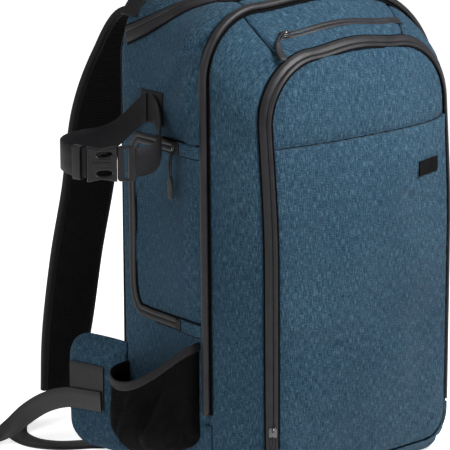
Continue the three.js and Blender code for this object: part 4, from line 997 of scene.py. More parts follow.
# Below the edge trim its seam goes on as a narrow fold of cloth
for name, turn in (("footFoldLeft", lambda place: place), ("footFoldRight", mirrored)):
    skinTape(name, None, [(turn(place), edgeShare) for place in trimLook["footFoldPlaces"]],
             tubeRing(12, 3.0) * trimLook["footFold"], cloth, trimLook["footFoldLift"], None)

# Front zip over a near-black strip of painted shadow along its edges, and the cloth strip that closes the
# ring below it
zipFoot = 2.03
bandWidth, tapeHeight = trimLook["frontWidth"], trimLook["tape"]
zipEnds, stripEnds = (zipFoot, mirrored(zipFoot)), (placeGap - zipFoot, zipFoot - placeGap)
bandHeight = seamGap + tapeHeight / 2
for name, nodes, ends, lift, ring, material, slot in (
    ("frontZipTape", [], zipEnds, 0.25 * mm,
     tapeRing(bandWidth + 1.8 * trimLook["underShow"], trimLook["underTape"]), underTape, "webbing"),
    ("frontZipBand", ["front_zip_band"], zipEnds, bandHeight, zipRing(bandWidth, tapeHeight, 0.12),
     coated, "coated_trim"),
    ("frontFootStrip", ["front_foot_strip"], stripEnds, bandHeight, tapeRing(bandWidth, tapeHeight),
     cloth, "cloth"),
):
    line, normal, side = slopeLine(*ends, trimLook["slopeSteps"], lift)
    addPiece(name, sweptMesh(name, line, normal, ring, sharpAngle=40, sides=side), material, nodes)

# Side door: its zip's run, and the strips that close its upper and lower end
door = {"top": 0.709 * body["height"], "bottom": 0.349 * body["height"], "back": 0.13,
        # the zip's stops at a corner: depth, and how far inside the door's height
        "corner": ((0.52, 0.0), (0.40, 0.0), (0.26, 0.0), (0.17, 4 * mm), (0.13, 24 * mm)),
        "strip": (0.523, 0.58, 0.63, 0.69), "tab": 0.521, "lift": 0.4 * mm, "tabLift": 1.7 * mm}


def doorPlaces(stops):
    return [(float(sidePlaceAt(z, depth)), depth) for z, depth in stops]


doorPath = doorPlaces([(door["top"] - inside, depth) for depth, inside in door["corner"]]
                      + [((door["top"] + door["bottom"]) / 2, door["back"])]
                      + [(door["bottom"] + inside, depth) for depth, inside in reversed(door["corner"])])
# painted shadow along both edges of the door zip
shadowTapeUnder("sideDoorTape", doorPath, trimLook["doorWidth"])
skinTape("sideDoorZip", "side_door_zip", doorPath, zipRing(trimLook["doorWidth"], tapeHeight), coated,
         bandLift + door["lift"])
for name, node, z in (("doorStripUpper", "side_door_strip_upper", door["top"]),
                      ("doorStripLower", "side_door_strip_lower", door["bottom"])):
    stripPath = doorPlaces([(z, depth) for depth in door["strip"]])
    # painted shadow along both edges of each end strip
    shadowTapeUnder(name + "Tape", stripPath, trimLook["stripWidth"] - 1.2 * mm)
    skinTape(name, node, stripPath, tapeRing(trimLook["stripWidth"], tapeHeight * 1.6), cloth,
             bandLift + door["lift"], 60)
    half = trimLook["tabLength"] / 2 / body["depth"]
    skinTape(name + "Tab", None, doorPlaces([(z, door["tab"] + step) for step in (-half, 0, half)]),
             tapeRing(trimLook["stripWidth"] * 0.9, trimLook["tabThickness"]), webbing,
             bandLift + door["tabLift"], 60)
print("stage: tapes and trims")

# Blank woven label, with its folded edge
labelLow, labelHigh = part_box("blank_label")
labelLook = {"thickness": 0.9 * mm, "fold": 3.2 * mm, "foldRise": 0.5 * mm, "foldReach": 0.6 * mm,
             "edgeReach": 0.8 * mm, "clearance": 0.2 * mm}


def makeLabel():
    u, v = np.meshgrid(np.linspace(0, 1, 41), np.linspace(0, 1, 19), indexing="ij")
    x, z = lerp(labelLow.x, labelHigh.x, u), lerp(labelLow.z, labelHigh.z, v)
    edge = np.minimum(np.minimum(u, 1 - u) * (labelHigh.x - labelLow.x),
                      np.minimum(v, 1 - v) * (labelHigh.z - labelLow.z))
    lift = seamGap + labelLook["thickness"] * (1 - 0.5 * np.exp(-(edge / labelLook["edgeReach"]) ** 2))
    folded = smooth(labelLook["fold"] - (x - labelLow.x), 0, labelLook["foldReach"])
    lift = lift + labelLook["foldRise"] * folded
    # It lies flat on the swelled cloth below it
    cushion = BVHTree.FromObject(slipPocket, bpy.context.evaluated_depsgraph_get())
    surface = facePoint(x, z)
    for index in np.ndindex(x.shape):
        hit = cushion.ray_cast(Vector((x[index], cadLow.y - 0.1, z[index])), Vector((0, 1, 0)))[0]
        surface[index][1] = hit.y
    plane = np.stack([x.ravel(), z.ravel(), np.ones(x.size)], axis=-1)
    flat = (plane @ np.linalg.lstsq(plane, surface[..., 1].ravel(), rcond=None)[0]).reshape(x.shape)
    surface[..., 1] = flat + (surface[..., 1] - flat).min() - labelLook["clearance"]
    outer, inner = surface.copy(), surface
    outer[..., 1] -= lift
    mesh = slabMesh("blankLabel", outer, inner, np.stack([x, z], axis=-1), 50)
    addPiece("blankLabel", mesh, labelCloth, ["blank_label"])


makeLabel()

# Net pocket on the side, with its elastic rim
pocket = {
    "back": 0.07, "front": 0.66, "bulge": 47 * mm, "rimBack": 0.226, "rimFront": 0.326,
    "footBack": 0.026, "footFront": 0.130, "rimHeight": 10 * mm, "rimThickness": 2.6 * mm,
    "netColumns": 96, "netRows": 52, "yarn": 0.30 * mm, "clothThickness": 0.5 * mm, "yarnRise": 0.9 * mm,
    "stitchDrop": 0.78, "stitches": {"Pitch": 2.6 * mm, "Length": 1.9 * mm, "Width": 0.5 * mm},
    # where each diagonal fold crosses the middle, and its push as a share of the bulge
    "folds": ((0.22, 0.06), (0.34, -0.10), (0.46, 0.11), (0.57, -0.11), (0.68, 0.10), (0.79, -0.10),
              (0.90, 0.08)),
    "foldWidth": 0.045, "foldSlant": 0.36,
}


def pocketPoint(along, z, swell, proud):
    angle = math.pi * along
    middle, half = (pocket["back"] + pocket["front"]) / 2, (pocket["front"] - pocket["back"]) / 2
    depth = middle - half * np.cos(angle)
    section = sectionAt(depth)
    seat = skinBase(sidePlaceAt(np.maximum(z, section[1] + section[3]), depth), depth)
    out = seamGap + (pocket["bulge"] * swell + proud) * np.clip(np.sin(angle), 0, 1) ** 0.85
    return xyz(seat[..., 0] - out, seat[..., 1] + proud * np.cos(angle), z)


def rimTopAt(along):
    return body["height"] * lerp(pocket["rimBack"], pocket["rimFront"], smooth(along, 0.3, 1) ** 1.6)


def pocketFootAt(along):
    return body["height"] * lerp(pocket["footBack"], pocket["footFront"], along**1.5)


def geometryTree(name, inputs):
    tree = bpy.data.node_groups.new(name, "GeometryNodeTree")
    tree.interface.new_socket("Geometry", in_out="INPUT", socket_type="NodeSocketGeometry")
    for label, kind, value in inputs:
        socket = tree.interface.new_socket(label, in_out="INPUT", socket_type=kind)
        if value is not None:
            socket.default_value = value
    tree.interface.new_socket("Geometry", in_out="OUTPUT", socket_type="NodeSocketGeometry")
    return tree, tree.nodes.new("NodeGroupInput"), tree.nodes.new("NodeGroupOutput")


# Runs a geometry tree on a mesh and gives the result as a plain mesh
def grown(mesh, tree, values):
    carrier = bpy.data.objects.new("carrier", mesh)
    scene.collection.objects.link(carrier)
    modifier = carrier.modifiers.new("grow", "NODES")
    modifier.node_group = tree
    for item in tree.interface.items_tree:
        if item.item_type == "SOCKET" and item.in_out == "INPUT" and item.name in values:
            modifier[item.identifier] = values[item.name]
    bpy.context.view_layer.update()
    graph = bpy.context.evaluated_depsgraph_get()
    result = bpy.data.meshes.new_from_object(carrier.evaluated_get(graph))
    bpy.data.objects.remove(carrier)
    return result


# Net: the edges between the cells of a surface, as thin yarns
def netTree():
    tree, source, target = geometryTree("netOfYarn", [
        ("Yarn Radius", "NodeSocketFloat", 0.0004), ("Material", "NodeSocketMaterial", None)])
    cut = addNode(tree, "GeometryNodeTriangulate", {0: source.outputs["Geometry"]})
    cells = addNode(tree, "GeometryNodeDualMesh", {0: cut.outputs[0]})
    lines = addNode(tree, "GeometryNodeMeshToCurve", {0: cells.outputs[0]})
    circle = addNode(tree, "GeometryNodeCurvePrimitiveCircle", {"Resolution": 3})
    tree.links.new(source.outputs["Yarn Radius"], circle.inputs["Radius"])
    yarns = addNode(tree, "GeometryNodeCurveToMesh",
                    {"Curve": lines.outputs[0], "Profile Curve": circle.outputs[0]})
    yarns.inputs["Fill Caps"].default_value = True
    real = addNode(tree, "GeometryNodeRealizeInstances", {0: yarns.outputs[0]})
    painted = addNode(tree, "GeometryNodeSetMaterial", {0: real.outputs[0]})
    tree.links.new(source.outputs["Material"], painted.inputs["Material"])
    tree.links.new(painted.outputs[0], target.inputs[0])
    return tree


# Stitches: short rounded threads along a line
def stitchTree():
    tree, source, target = geometryTree("stitchRow", [
        ("Pitch", "NodeSocketFloat", 0.0035), ("Length", "NodeSocketFloat", 0.0025),
        ("Width", "NodeSocketFloat", 0.0006), ("Material", "NodeSocketMaterial", None)])
    line = addNode(tree, "GeometryNodeMeshToCurve", {0: source.outputs["Geometry"]})
    even = addNode(tree, "GeometryNodeResampleCurve", {0: line.outputs[0]}, mode="LENGTH")
    tree.links.new(source.outputs["Pitch"], even.inputs["Length"])
    bead = addNode(tree, "GeometryNodeMeshIcoSphere", {"Radius": 0.5, "Subdivisions": 1})
    tangent = tree.nodes.new("GeometryNodeInputTangent")
    turned = addNode(tree, "FunctionNodeAlignRotationToVector", {"Vector": tangent.outputs[0]}, axis="X")
    size = addNode(tree, "ShaderNodeCombineXYZ")
    tree.links.new(source.outputs["Length"], size.inputs[0])
    tree.links.new(source.outputs["Width"], size.inputs[1])
    tree.links.new(source.outputs["Width"], size.inputs[2])
    placed = addNode(tree, "GeometryNodeInstanceOnPoints", {
        "Points": even.outputs[0], "Instance": bead.outputs[0], "Rotation": turned.outputs[0],
        "Scale": size.outputs[0]})
    real = addNode(tree, "GeometryNodeRealizeInstances", {0: placed.outputs[0]})
    painted = addNode(tree, "GeometryNodeSetMaterial", {0: real.outputs[0]})
    tree.links.new(source.outputs["Material"], painted.inputs["Material"])
    tree.links.new(painted.outputs[0], target.inputs[0])
    return tree


yarnNet, stitchRow = netTree(), stitchTree()
stitchLook = {"Pitch": 3.4 * mm, "Length": 2.5 * mm, "Width": 0.75 * mm}


def stitches(name, lines, slot, **changes):
    points, edges = [], []
    for line in lines:
        first = len(points)
        points += [tuple(point) for point in line]
        edges += [(first + i, first + i + 1) for i in range(len(line) - 1)]
    mesh = bpy.data.meshes.new(name + "Line")
    mesh.from_pydata(points, edges, [])
    result = grown(mesh, stitchRow, {**stitchLook, **changes, "Material": thread})
    result.shade_smooth()
    return addPiece(name, result, thread)


def makePocket():
    columns, rows = pocket["netColumns"], pocket["netRows"]
    u, v = np.meshgrid(np.linspace(0, 1, columns), np.linspace(0, 1, rows), indexing="ij")
    z = lerp(pocketFootAt(u), rimTopAt(u) - pocket["rimHeight"] + 1.0 * mm, v**1.3)
    swell = np.sqrt(smooth(v, -0.02, 0.55)) * lerp(0.94, 1, v)
    # Soft diagonal tension folds from the foot up to the front end of the rim
    fold = np.zeros(u.shape)
    for crossing, push in pocket["folds"]:
        away = u - crossing - pocket["foldSlant"] * (v - 0.5)
        fold += push * np.exp(-(away / pocket["foldWidth"]) ** 2)
    swell = swell * (1 + fold * smooth(v, 0, 0.2) * smooth(1 - v, 0, 0.25))
    # An opaque near-black sheet under the yarns: the net's black cloth, which also paints the shade inside
    # the pocket that would show through the holes
    stretch, inside = (pocketPoint(u, z, swell, proud) for proud in (pocket["clothThickness"], 0.0))
    first, second = arcs(stretch)
    mesh = slabMesh("sidePocketClothAndShade", stretch, inside, np.stack([first, second], -1))
    addPiece("sidePocketClothAndShade", mesh, netClothAndShade)
    points = pocketPoint(u, z, swell, pocket["yarnRise"])
    number = np.arange(columns * rows).reshape(columns, rows)
    quads = np.stack([number[:-1, :-1], number[1:, :-1], number[1:, 1:], number[:-1, 1:]], -1).reshape(-1, 4)
    sheet = bpy.data.meshes.new("netSheet")
    sheet.from_pydata(points.reshape(-1, 3).tolist(), [], quads.tolist())
    net = grown(sheet, yarnNet, {"Yarn Radius": pocket["yarn"], "Material": netYarn})
    net.shade_smooth()
    addPiece("sidePocketNet", net, netYarn, ["side_pocket_net"])
    u, v = np.meshgrid(np.linspace(0, 1, 90), np.linspace(0, 1, 9), indexing="ij")
    roll = 0.5 + 0.5 * np.sqrt(np.clip(1 - (2 * v - 1) ** 4, 0, 1))
    z = rimTopAt(u) - pocket["rimHeight"] * (1 - v)
    outer = pocketPoint(u, z, 1.0, pocket["rimThickness"] * roll)
    inner = pocketPoint(u, z, 1.0, pocket["rimThickness"] * (1 - roll))
    first, second = arcs(outer)
    mesh = slabMesh("sidePocketRim", outer, inner, np.stack([second, first], -1), 60)
    addPiece("sidePocketRim", mesh, webbing, ["side_pocket_rim"])
    seam = u[:, 0]
    height = rimTopAt(seam) - pocket["stitchDrop"] * pocket["rimHeight"]
    line = pocketPoint(seam, height, 1.0, pocket["rimThickness"] + 0.1 * mm)
    stitches("pocketRimStitches", [line], "pocket_net", **pocket["stitches"])


makePocket()
print("stage: side pocket")


# Plates moulded or stamped from an outline, with holes and rounded edges
def plateMesh(outline, holes, thickness, bevel):
    data = bpy.data.curves.new("plate", "CURVE")
    data.dimensions = "2D"
    data.fill_mode = "BOTH"
    data.extrude = thickness / 2 - bevel
    data.bevel_depth = bevel
    data.bevel_resolution = 3
    data.offset = -bevel
    for ring in (outline, *holes):
        spline = data.splines.new("POLY")
        spline.points.add(len(ring) - 1)
        for point, (x, y) in zip(spline.points, ring):
            point.co = (x, y, 0, 1)
        spline.use_cyclic_u = True
    carrier = bpy.data.objects.new("plate", data)
    scene.collection.objects.link(carrier)
    bpy.context.view_layer.update()
    graph = bpy.context.evaluated_depsgraph_get()
    mesh = bpy.data.meshes.new_from_object(carrier.evaluated_get(graph))
    bpy.data.objects.remove(carrier)
    mesh.shade_smooth()
    mesh.set_sharp_from_angle(angle=math.radians(45))
    return mesh


def roundedRect(width, height, radius, middle=(0.0, 0.0), steps=5):
    points = []
    for turn, (sx, sy) in enumerate(((1, -1), (1, 1), (-1, 1), (-1, -1))):
        for k in range(steps + 1):
            angle = math.pi / 2 * (turn - 1 + k / steps)
            points.append((middle[0] + sx * (width / 2 - radius) + radius * math.cos(angle),
                           middle[1] + sy * (height / 2 - radius) + radius * math.sin(angle)))
    return points


def ellipse(width, height, middle=(0.0, 0.0), steps=24):
    return [(middle[0] + width / 2 * math.cos(2 * math.pi * k / steps),
             middle[1] + height / 2 * math.sin(2 * math.pi * k / steps)) for k in range(steps)]


# Sets a mesh built in its own XY plane on a place: its X along xAxis, its Z along outward
def placed(mesh, point, xAxis, outward):
    z = Vector(outward).normalized()
    y = z.cross(Vector(xAxis)).normalized()
    x = y.cross(z)
    matrix = Matrix((x, y, z)).transposed().to_4x4()
    matrix.translation = Vector(point)
    mesh.transform(matrix)
    return mesh


def joined(name, meshes):
    whole = bmesh.new()
    for mesh in meshes:
        whole.from_mesh(mesh)
    result = bpy.data.meshes.new(name)
    whole.to_mesh(result)
    whole.free()
    result.shade_smooth()
    result.set_sharp_from_angle(angle=math.radians(45))
    return result


# Zip sliders with their pulls: a body, a crown with its bridge, a double cord and a rubber tab
slider = {
    "length": 11 * mm, "width": 8 * mm, "height": 3.2 * mm, "cord": 0.85 * mm, "cordSpread": 1.5 * mm,
    "baseRound": 2.4 * mm, "crownRound": 2.2 * mm, "bevel": 0.5 * mm, "bridge": (2.6 * mm, 1.1 * mm),
    # the bridge's arch: shares of the length along, and of the height out
    "arch": ((-0.36, 0.2), (-0.24, 0.62), (0.05, 0.78), (0.30, 0.66), (0.42, 0.15)), "cordHook": (0.30, 0.72),
    "cordOpens": 7 * mm, "cordIntoTab": 2.5 * mm, "tabLength": 24 * mm, "tabWidth": 8 * mm,
    "tabThickness": 2.6 * mm,
}


def zipPull(name, along, outward, hang):
    low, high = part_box(f"{name}_slider")
    middle = (low + high) / 2
    title = name.title().replace("_", "")
    title = title[0].lower() + title[1:]
    out = Vector(outward).normalized()
    run = (Vector(along) - out * Vector(along).dot(out)).normalized()
    side = out.cross(run).normalized()
    height = slider["height"]
    length, width, bevel = slider["length"], slider["width"], slider["bevel"]
    base = plateMesh(roundedRect(length, width, slider["baseRound"]), [], height * 0.42, bevel)
    placed(base, middle - out * height * 0.28, run, out)
    crown = plateMesh(roundedRect(length * 0.86, width * 0.62, slider["crownRound"]), [], height * 0.4, bevel)
    placed(crown, middle + out * height * 0.1, run, out)
    stops = [middle + run * (length * share) + out * (rise * height) for share, rise in slider["arch"]]
    bridge = sweptMesh("bridge", curveThrough(stops, 24), np.array(out), tubeRing(12, 2.6), *slider["bridge"])
    addPiece(title + "Slider", joined(title, [base, crown, bridge]), metal, [f"{name}_slider"])
    hookAlong, hookOut = slider["cordHook"]
    start = middle + run * (length * hookAlong) + out * (hookOut * height)
    route = curveThrough([start, *hang], 90)
    travelled = np.concatenate([[0], np.cumsum(np.linalg.norm(np.diff(route, axis=0), axis=1))])
    tabStart = travelled[-1] - slider["tabLength"]
    onCord = travelled <= tabStart + slider["cordIntoTab"]
    cordLine, cordTravel = route[onCord], travelled[onCord]
    spread = slider["cordSpread"] * np.sin(np.clip(cordTravel / slider["cordOpens"], 0, 1) * math.pi / 2)
    spread = spread * (1 - 0.35 * smooth(cordTravel, tabStart * 0.55, tabStart))
    cords = [sweptMesh("cord", cordLine + np.array(side) * (sign * spread)[:, None], np.array(out),
                       tubeRing(10), 2 * slider["cord"], 2 * slider["cord"]) for sign in (-1, 1)]
    addPiece(title + "PullCord", joined(title, cords), pullCord)
    onTab = travelled >= tabStart
    tabLine, share = route[onTab], (travelled[onTab] - tabStart) / slider["tabLength"]
    ends = np.sqrt(np.clip(1 - np.clip((0.10 - share) / 0.10, 0, 1) ** 2, 0.02, 1)
                   * np.clip(1 - np.clip((share - 0.88) / 0.12, 0, 1) ** 2, 0.02, 1))
    width = slider["tabWidth"] * lerp(0.62, 1.0, smooth(share, 0.0, 0.45)) * ends
    thickness = slider["tabThickness"] * ends * (1 - 0.10 * np.exp(-((share - 0.55) / 0.16) ** 2))
    tab = sweptMesh("tab", tabLine, np.array(out), tubeRing(20, 3.0), width, thickness)
    addPiece(title + "PullTab", tab, rubber, [f"{name}_pull"])


def hangDown(seat, outward, stops):
    return [Vector(seat) + Vector((0, 0, -drop)) + Vector(outward) * out for drop, out in stops]


bandTop = trimLook["clearance"] + trimLook["tape"]
# How each pull hangs from its slider: drop and stand-off
pullHangs = {
    "front": ((14 * mm, 4.5 * mm), (24 * mm, 4.5 * mm), (46 * mm, 5 * mm)),
    "side_door": ((14 * mm, 5.5 * mm), (26 * mm, 5.5 * mm), (52 * mm, 5 * mm)),
    "lid": ((14 * mm, 7 * mm), (26 * mm, 7 * mm), (46 * mm, 5.5 * mm)),
}
topSlot = skinBase(3.97, topDepth) - skinBase(4.01, topDepth)
zipPull("top_pocket", topSlot, skinNormal(3.99, topDepth),
        [skin(3.83, 0.915, 4 * mm), skin(3.75, 0.955, 4 * mm),
         skin(3.67, 1.0, 8 * mm) - np.array([0, 0, 2.6 * mm])])
down = (0, 0, -1)
frontLine, frontNormals, _ = slopeLine(2.09, 2.11, 1, bandTop)
frontOut = frontNormals[0]
zipPull("front", down, frontOut, hangDown(frontLine[0], frontOut, pullHangs["front"]))
doorSlot = skin(sidePlaceAt(door["top"], 0.5), 0.5, bandTop)
zipPull("side_door", down, (-1, 0, 0), hangDown(doorSlot, (-1, 0, 0), pullHangs["side_door"]))
lidSlotDepth = 0.12
lidSlotPlace = mirrored(float(lidPlace(lidSlotDepth)))
lidSlot = skin(lidSlotPlace, lidSlotDepth, bandTop)
zipPull("lid", down, skinNormal(lidSlotPlace, lidSlotDepth), hangDown(lidSlot, (1, 0, 0), pullHangs["lid"]))
print("stage: zip sliders and pulls")

# Strap loop on the side with its buckle
loop = {"radius": 49 * mm, "width": 29 * mm, "thickness": 2 * mm, "front": 0.70 * body["height"],
        "rise": 39 * mm, "seatDepth": 0.31, "anchor": 1.6 * mm, "buckleAngle": 234.0, "sewnAngle": 6.0,
        "keeperAngle": 193.0, "buckleLength": 47 * mm, "buckleWidth": 35 * mm, "buckleThickness": 7 * mm,
        "anchorMargin": 4 * mm, "anchorEdge": 0.8 * mm, "anchorHalf": 16 * mm,
        "stitches": {"Pitch": 3.0 * mm, "Length": 2.2 * mm}}
loopSeat = skin(sidePlaceAt(loop["front"] + loop["rise"], loop["seatDepth"]), loop["seatDepth"])
loopOffset = 2 * seamGap + loop["anchor"] + loop["thickness"] / 2 + loop["radius"]
loopCentre = np.array([loopSeat[0] - loopOffset, loopSeat[1], loop["front"]])


def ringDirection(angle):
    turn = np.radians(angle)
    return xyz(np.cos(turn), np.sin(turn), 0.0)


def loopPoint(angle, radius=loop["radius"]):
    rise = loop["rise"] * np.maximum(0, np.cos(np.radians(angle))) ** 4
    return loopCentre + ringDirection(angle) * radius + xyz(0.0, 0.0, rise)


def loopBand(name, node, start, end):
    angle = np.linspace(start, end, 80)
    line, outward = loopPoint(angle), ringDirection(angle)
    side = np.broadcast_to([0.0, 0.0, 1.0], line.shape)
    ring = tapeRing(loop["width"], loop["thickness"])
    mesh = sweptMesh(name, line, outward, ring, sharpAngle=50, sides=side)
    addPiece(name, mesh, webbing, [node])


buckleHalf = loop["buckleLength"] / 2 + seamGap
buckleHalfAngle = math.degrees(math.asin(buckleHalf / loop["radius"]))
loopBand("sideStrapLong", "side_strap_long", loop["sewnAngle"], loop["buckleAngle"] - buckleHalfAngle)
loopBand("sideStrapShort", "side_strap_short", -loop["sewnAngle"],
         loop["buckleAngle"] + buckleHalfAngle - 360)


# The sewn patch's own coordinates: u across from -1 to 1 and v up from -0.5 to 0.5
def anchorAt(u, v):
    depth = loop["seatDepth"] + u * (loop["width"] / 2 + loop["anchorMargin"]) / body["depth"]
    z = loopSeat[2] + v * (loop["width"] + loop["anchorMargin"])
    return sidePlaceAt(z, depth), depth, z


def makeAnchor():
    u, v = np.meshgrid(np.linspace(-1, 1, 25), np.linspace(-0.5, 0.5, 21), indexing="ij")
    place, depth, z = anchorAt(u, v)
    edge = np.minimum(1 - abs(u), 1 - 2 * abs(v)) * loop["anchorHalf"]
    rise = loop["anchor"] * (1 - 0.6 * np.exp(-(edge / loop["anchorEdge"]) ** 2))
    outer = skin(place, depth, seamGap + panelLook["swell"] * 0.9 + rise)
    inner = skin(place, depth, np.full(place.shape, -0.5 * mm))
    mesh = slabMesh("sideStrapAnchor", outer, inner, np.stack([depth * body["depth"], z], -1), 50)
    addPiece("sideStrapAnchor", mesh, webbing, ["side_strap_anchor"])
    # A sewn box with a cross in it
    box = [(-0.86, -0.40), (0.86, -0.40), (0.86, 0.40), (-0.86, 0.40), (-0.86, -0.40), (0.86, 0.40)]
    cross = [(0.86, -0.40), (-0.86, 0.40)]
    proud = seamGap + panelLook["swell"] + loop["anchor"]
    lines = []
    for route in (box, cross):
        points = []
        for (a, b), (c, d) in zip(route[:-1], route[1:]):
            for t in np.linspace(0, 1, 10):
                place, depth, _ = anchorAt(lerp(a, c, t), lerp(b, d, t))
                points.append(skin(place, depth, proud))
        lines.append(points)
    stitches("anchorStitches", lines, "webbing", **loop["stitches"])


makeAnchor()


# The buckle's edge, waisted towards its middle
def waisted(length, width, dip, steps=18):
    top = [(lerp(-length / 2, length / 2, k / steps),
            width / 2 * (1 - dip * math.sin(math.pi * k / steps) ** 2)) for k in range(steps + 1)]
    return top + [(x, -y) for x, y in reversed(top)]


def makeSideBuckle():
    socketLength = loop["buckleLength"] * 0.62
    tongueLength = loop["buckleLength"] - socketLength - seamGap
    width, thickness = loop["buckleWidth"], loop["buckleThickness"]
    out = Vector(ringDirection(loop["buckleAngle"]))
    along = Vector((-out.y, out.x, 0))
    radius = loop["radius"] * math.cos(math.radians(buckleHalfAngle)) + thickness / 2
    middle = Vector(loopPoint(loop["buckleAngle"], radius))
    windows = [ellipse(socketLength * 0.56, width * 0.20, (socketLength * 0.08, sign * width * 0.27))
               for sign in (-1, 1)]
    socket = plateMesh(waisted(socketLength, width, 0.13), windows, thickness, 1.6 * mm)
    socketMiddle = middle + along * ((socketLength - loop["buckleLength"]) / 2)
    placed(socket, socketMiddle, along, out)
    ridge = plateMesh(roundedRect(socketLength * 0.70, width * 0.13, 1.6 * mm), [], thickness * 0.5, 0.8 * mm)
    placed(ridge, socketMiddle + out * thickness * 0.36, along, out)
    addPiece("sideBuckleSocket", joined("socket", [socket, ridge]), plastic,
             ["side_buckle_socket"])
    slot = roundedRect(4.5 * mm, loop["width"] + 2 * mm, 1.5 * mm)
    tongue = plateMesh(roundedRect(tongueLength, width, 3.2 * mm), [slot], thickness * 0.75, 1.4 * mm)
    placed(tongue, middle + along * ((loop["buckleLength"] - tongueLength) / 2), along, out)
    addPiece("sideBuckleTongue", tongue, plastic, ["side_buckle_tongue"])


makeSideBuckle()


keeper = {"play": 0.6 * mm, "wall": 1.8 * mm, "length": 10 * mm, "round": 1.6 * mm, "innerRound": 0.4 * mm,
          "bevel": 0.7 * mm}


def makeKeeper():
    inX, inY = loop["thickness"] + 2 * keeper["play"], loop["width"] + 2 * keeper["play"]
    outline = roundedRect(inX + 2 * keeper["wall"], inY + 2 * keeper["wall"], keeper["round"])
    window = roundedRect(inX, inY, keeper["innerRound"])
    ring = plateMesh(outline, [window], keeper["length"], keeper["bevel"])
    out = Vector(ringDirection(loop["keeperAngle"]))
    placed(ring, loopPoint(loop["keeperAngle"]), out, (-out.y, out.x, 0))
    addPiece("sideStrapKeeper", ring, plastic, ["side_strap_keeper"])


makeKeeper()
print("stage: side strap and buckle")

# Top handle
handle = {"width": 25 * mm, "thickness": 4 * mm, "span": 250 * mm, "rise": 38 * mm,
          "feet": (3.34, 3.5),                     # places where each end is sewn on
          "arch": ((0.43, 0.52), (0.27, 0.15)),    # share of the span out, and of the rise below its top
          "gripWidth": 0.92, "endThickness": 0.75}


def makeHandle():
    y = body["backY"] - handle["width"] / 2
    depth = handle["width"] / body["depth"]
    lift = seamGap + handle["thickness"] / 2
    top = skinBase(5.0, depth)[2] + handle["rise"] - handle["thickness"] / 2

    def half(turn, sign):
        feet = [skin(turn(place), depth, rise) for place, rise in zip(handle["feet"], (lift, lift + seamGap))]
        return [(foot[0], y, foot[2]) for foot in feet] + [
            (sign * handle["span"] * out, y, top - handle["rise"] * drop) for out, drop in handle["arch"]]

    route = half(lambda p: p, -1) + [(0, y, top)] + half(mirrored, 1)[::-1]
    line = curveThrough(route, 120)
    t = np.linspace(0, 1, 121)
    outward = xyz(-np.cos(math.pi * t), 0.0, 0.4 + np.sin(math.pi * t))
    grip = smooth(np.minimum(t, 1 - t), 0.20, 0.26)
    ring = tubeRing(20, 4.0)
    mesh = sweptMesh("topHandle", line, outward, ring, handle["width"] * lerp(1, handle["gripWidth"], grip),
                     handle["thickness"] * lerp(handle["endThickness"], 1.0, grip))
    addPiece("topHandle", mesh, webbing, ["top_handle"])


makeHandle()

# Padded back
backPad = {"thickness": 14 * mm, "edge": 3 * mm, "inset": 1 * mm, "channel": 0.55, "channelHalf": 0.16,
           "cell": 4.0 * mm, "pinned": 2, "swelling": 0.8,
           "seams": (0.30, 0.52, 0.74), "seamDepth": 4.0 * mm, "seamReach": 5 * mm}
backEdge = [float(value) for value in sectionAt(np.array(0.0))]


def backPadHalfAt(x, z):
    half, bottom, top, lowRound, leftRound, rightRound = backEdge
    corner = np.where(x < 0, leftRound, rightRound)
    rise = np.maximum(0, z - (top - backPad["inset"] - corner))
    drop = np.maximum(0, bottom + backPad["inset"] + lowRound - z)
    return (half - backPad["inset"] + np.sqrt(np.maximum(0, corner**2 - rise**2)) - corner
            + np.sqrt(np.maximum(0, lowRound**2 - drop**2)) - lowRound)


def backPadFace(x, z):
    half, bottom, top = backEdge[:3]
    inset = backPad["inset"]
    across = abs(x) / backPadHalfAt(x, z)
    up = abs(2 * (z - bottom - inset) / (top - bottom - 2 * inset) - 1)
    swell = (1 - np.minimum(1, across) ** 6) * (1 - np.minimum(1, up) ** 10)
    channel = backPad["channel"] * np.exp(-(across / backPad["channelHalf"]) ** 2)
    return (body["backY"] + seamGap + backPad["edge"]
            + (backPad["thickness"] - backPad["edge"]) * swell * (1 - channel))


def makeBackPad():
    half, bottom, top = backEdge[:3]
    inset = backPad["inset"]
    columns, rows = round(2 * half / backPad["cell"]), round((top - bottom) / backPad["cell"])
    u, v = np.meshgrid(np.linspace(-1, 1, columns), np.linspace(0, 1, rows), indexing="ij")
    z = lerp(bottom + inset, top - inset, v)
    x = u * backPadHalfAt(u, z)
    y = backPadFace(x, z)
    # Sewn cross channels split the pad into cushions
    for share in backPad["seams"]:
        away = (v - share) * (top - bottom)
        sewn = np.exp(-(away / backPad["seamReach"]) ** 2)
        y = y - backPad["seamDepth"] * sewn * smooth(1 - abs(u), 0, 0.12)
    outer, inner = xyz(x, y, z), xyz(x, body["backY"] + seamGap, z)
    mesh = slabMesh("backPanel", outer, inner, np.stack([x, z], -1))
    inflated(mesh, insideFace(columns, rows, backPad["pinned"]), backPad["swelling"])
    piece = addPiece("backPanel", mesh, spacer, ["back_panel"])


makeBackPad()

# Shoulder straps, their webbing and ladder locks
shoulder = {"width": 66 * mm, "thickness": 11 * mm, "reach": 130 * mm, "webWidth": 25 * mm, "web": 1.6 * mm,
            "floorGap": 0.5 * mm, "ladder": (30 * mm, 34 * mm, 5 * mm),
            "binding": (9.5 * mm, 8.0 * mm, 4 * mm)}  # width, thickness, how far in from the edge
shoulderRows = (
    # out, behind, height, breadth
    (0.42, 0.175, 0.880, 0.86), (0.45, 0.240, 0.932, 0.92), (0.52, 0.430, 0.918, 1.00),
    (0.61, 0.610, 0.830, 1.00), (0.70, 0.735, 0.715, 1.00), (0.76, 0.810, 0.535, 1.00),
    (0.82, 0.885, 0.390, 1.00), (0.88, 0.950, 0.210, 0.95), (0.93, 0.985, 0.085, 0.72),
)


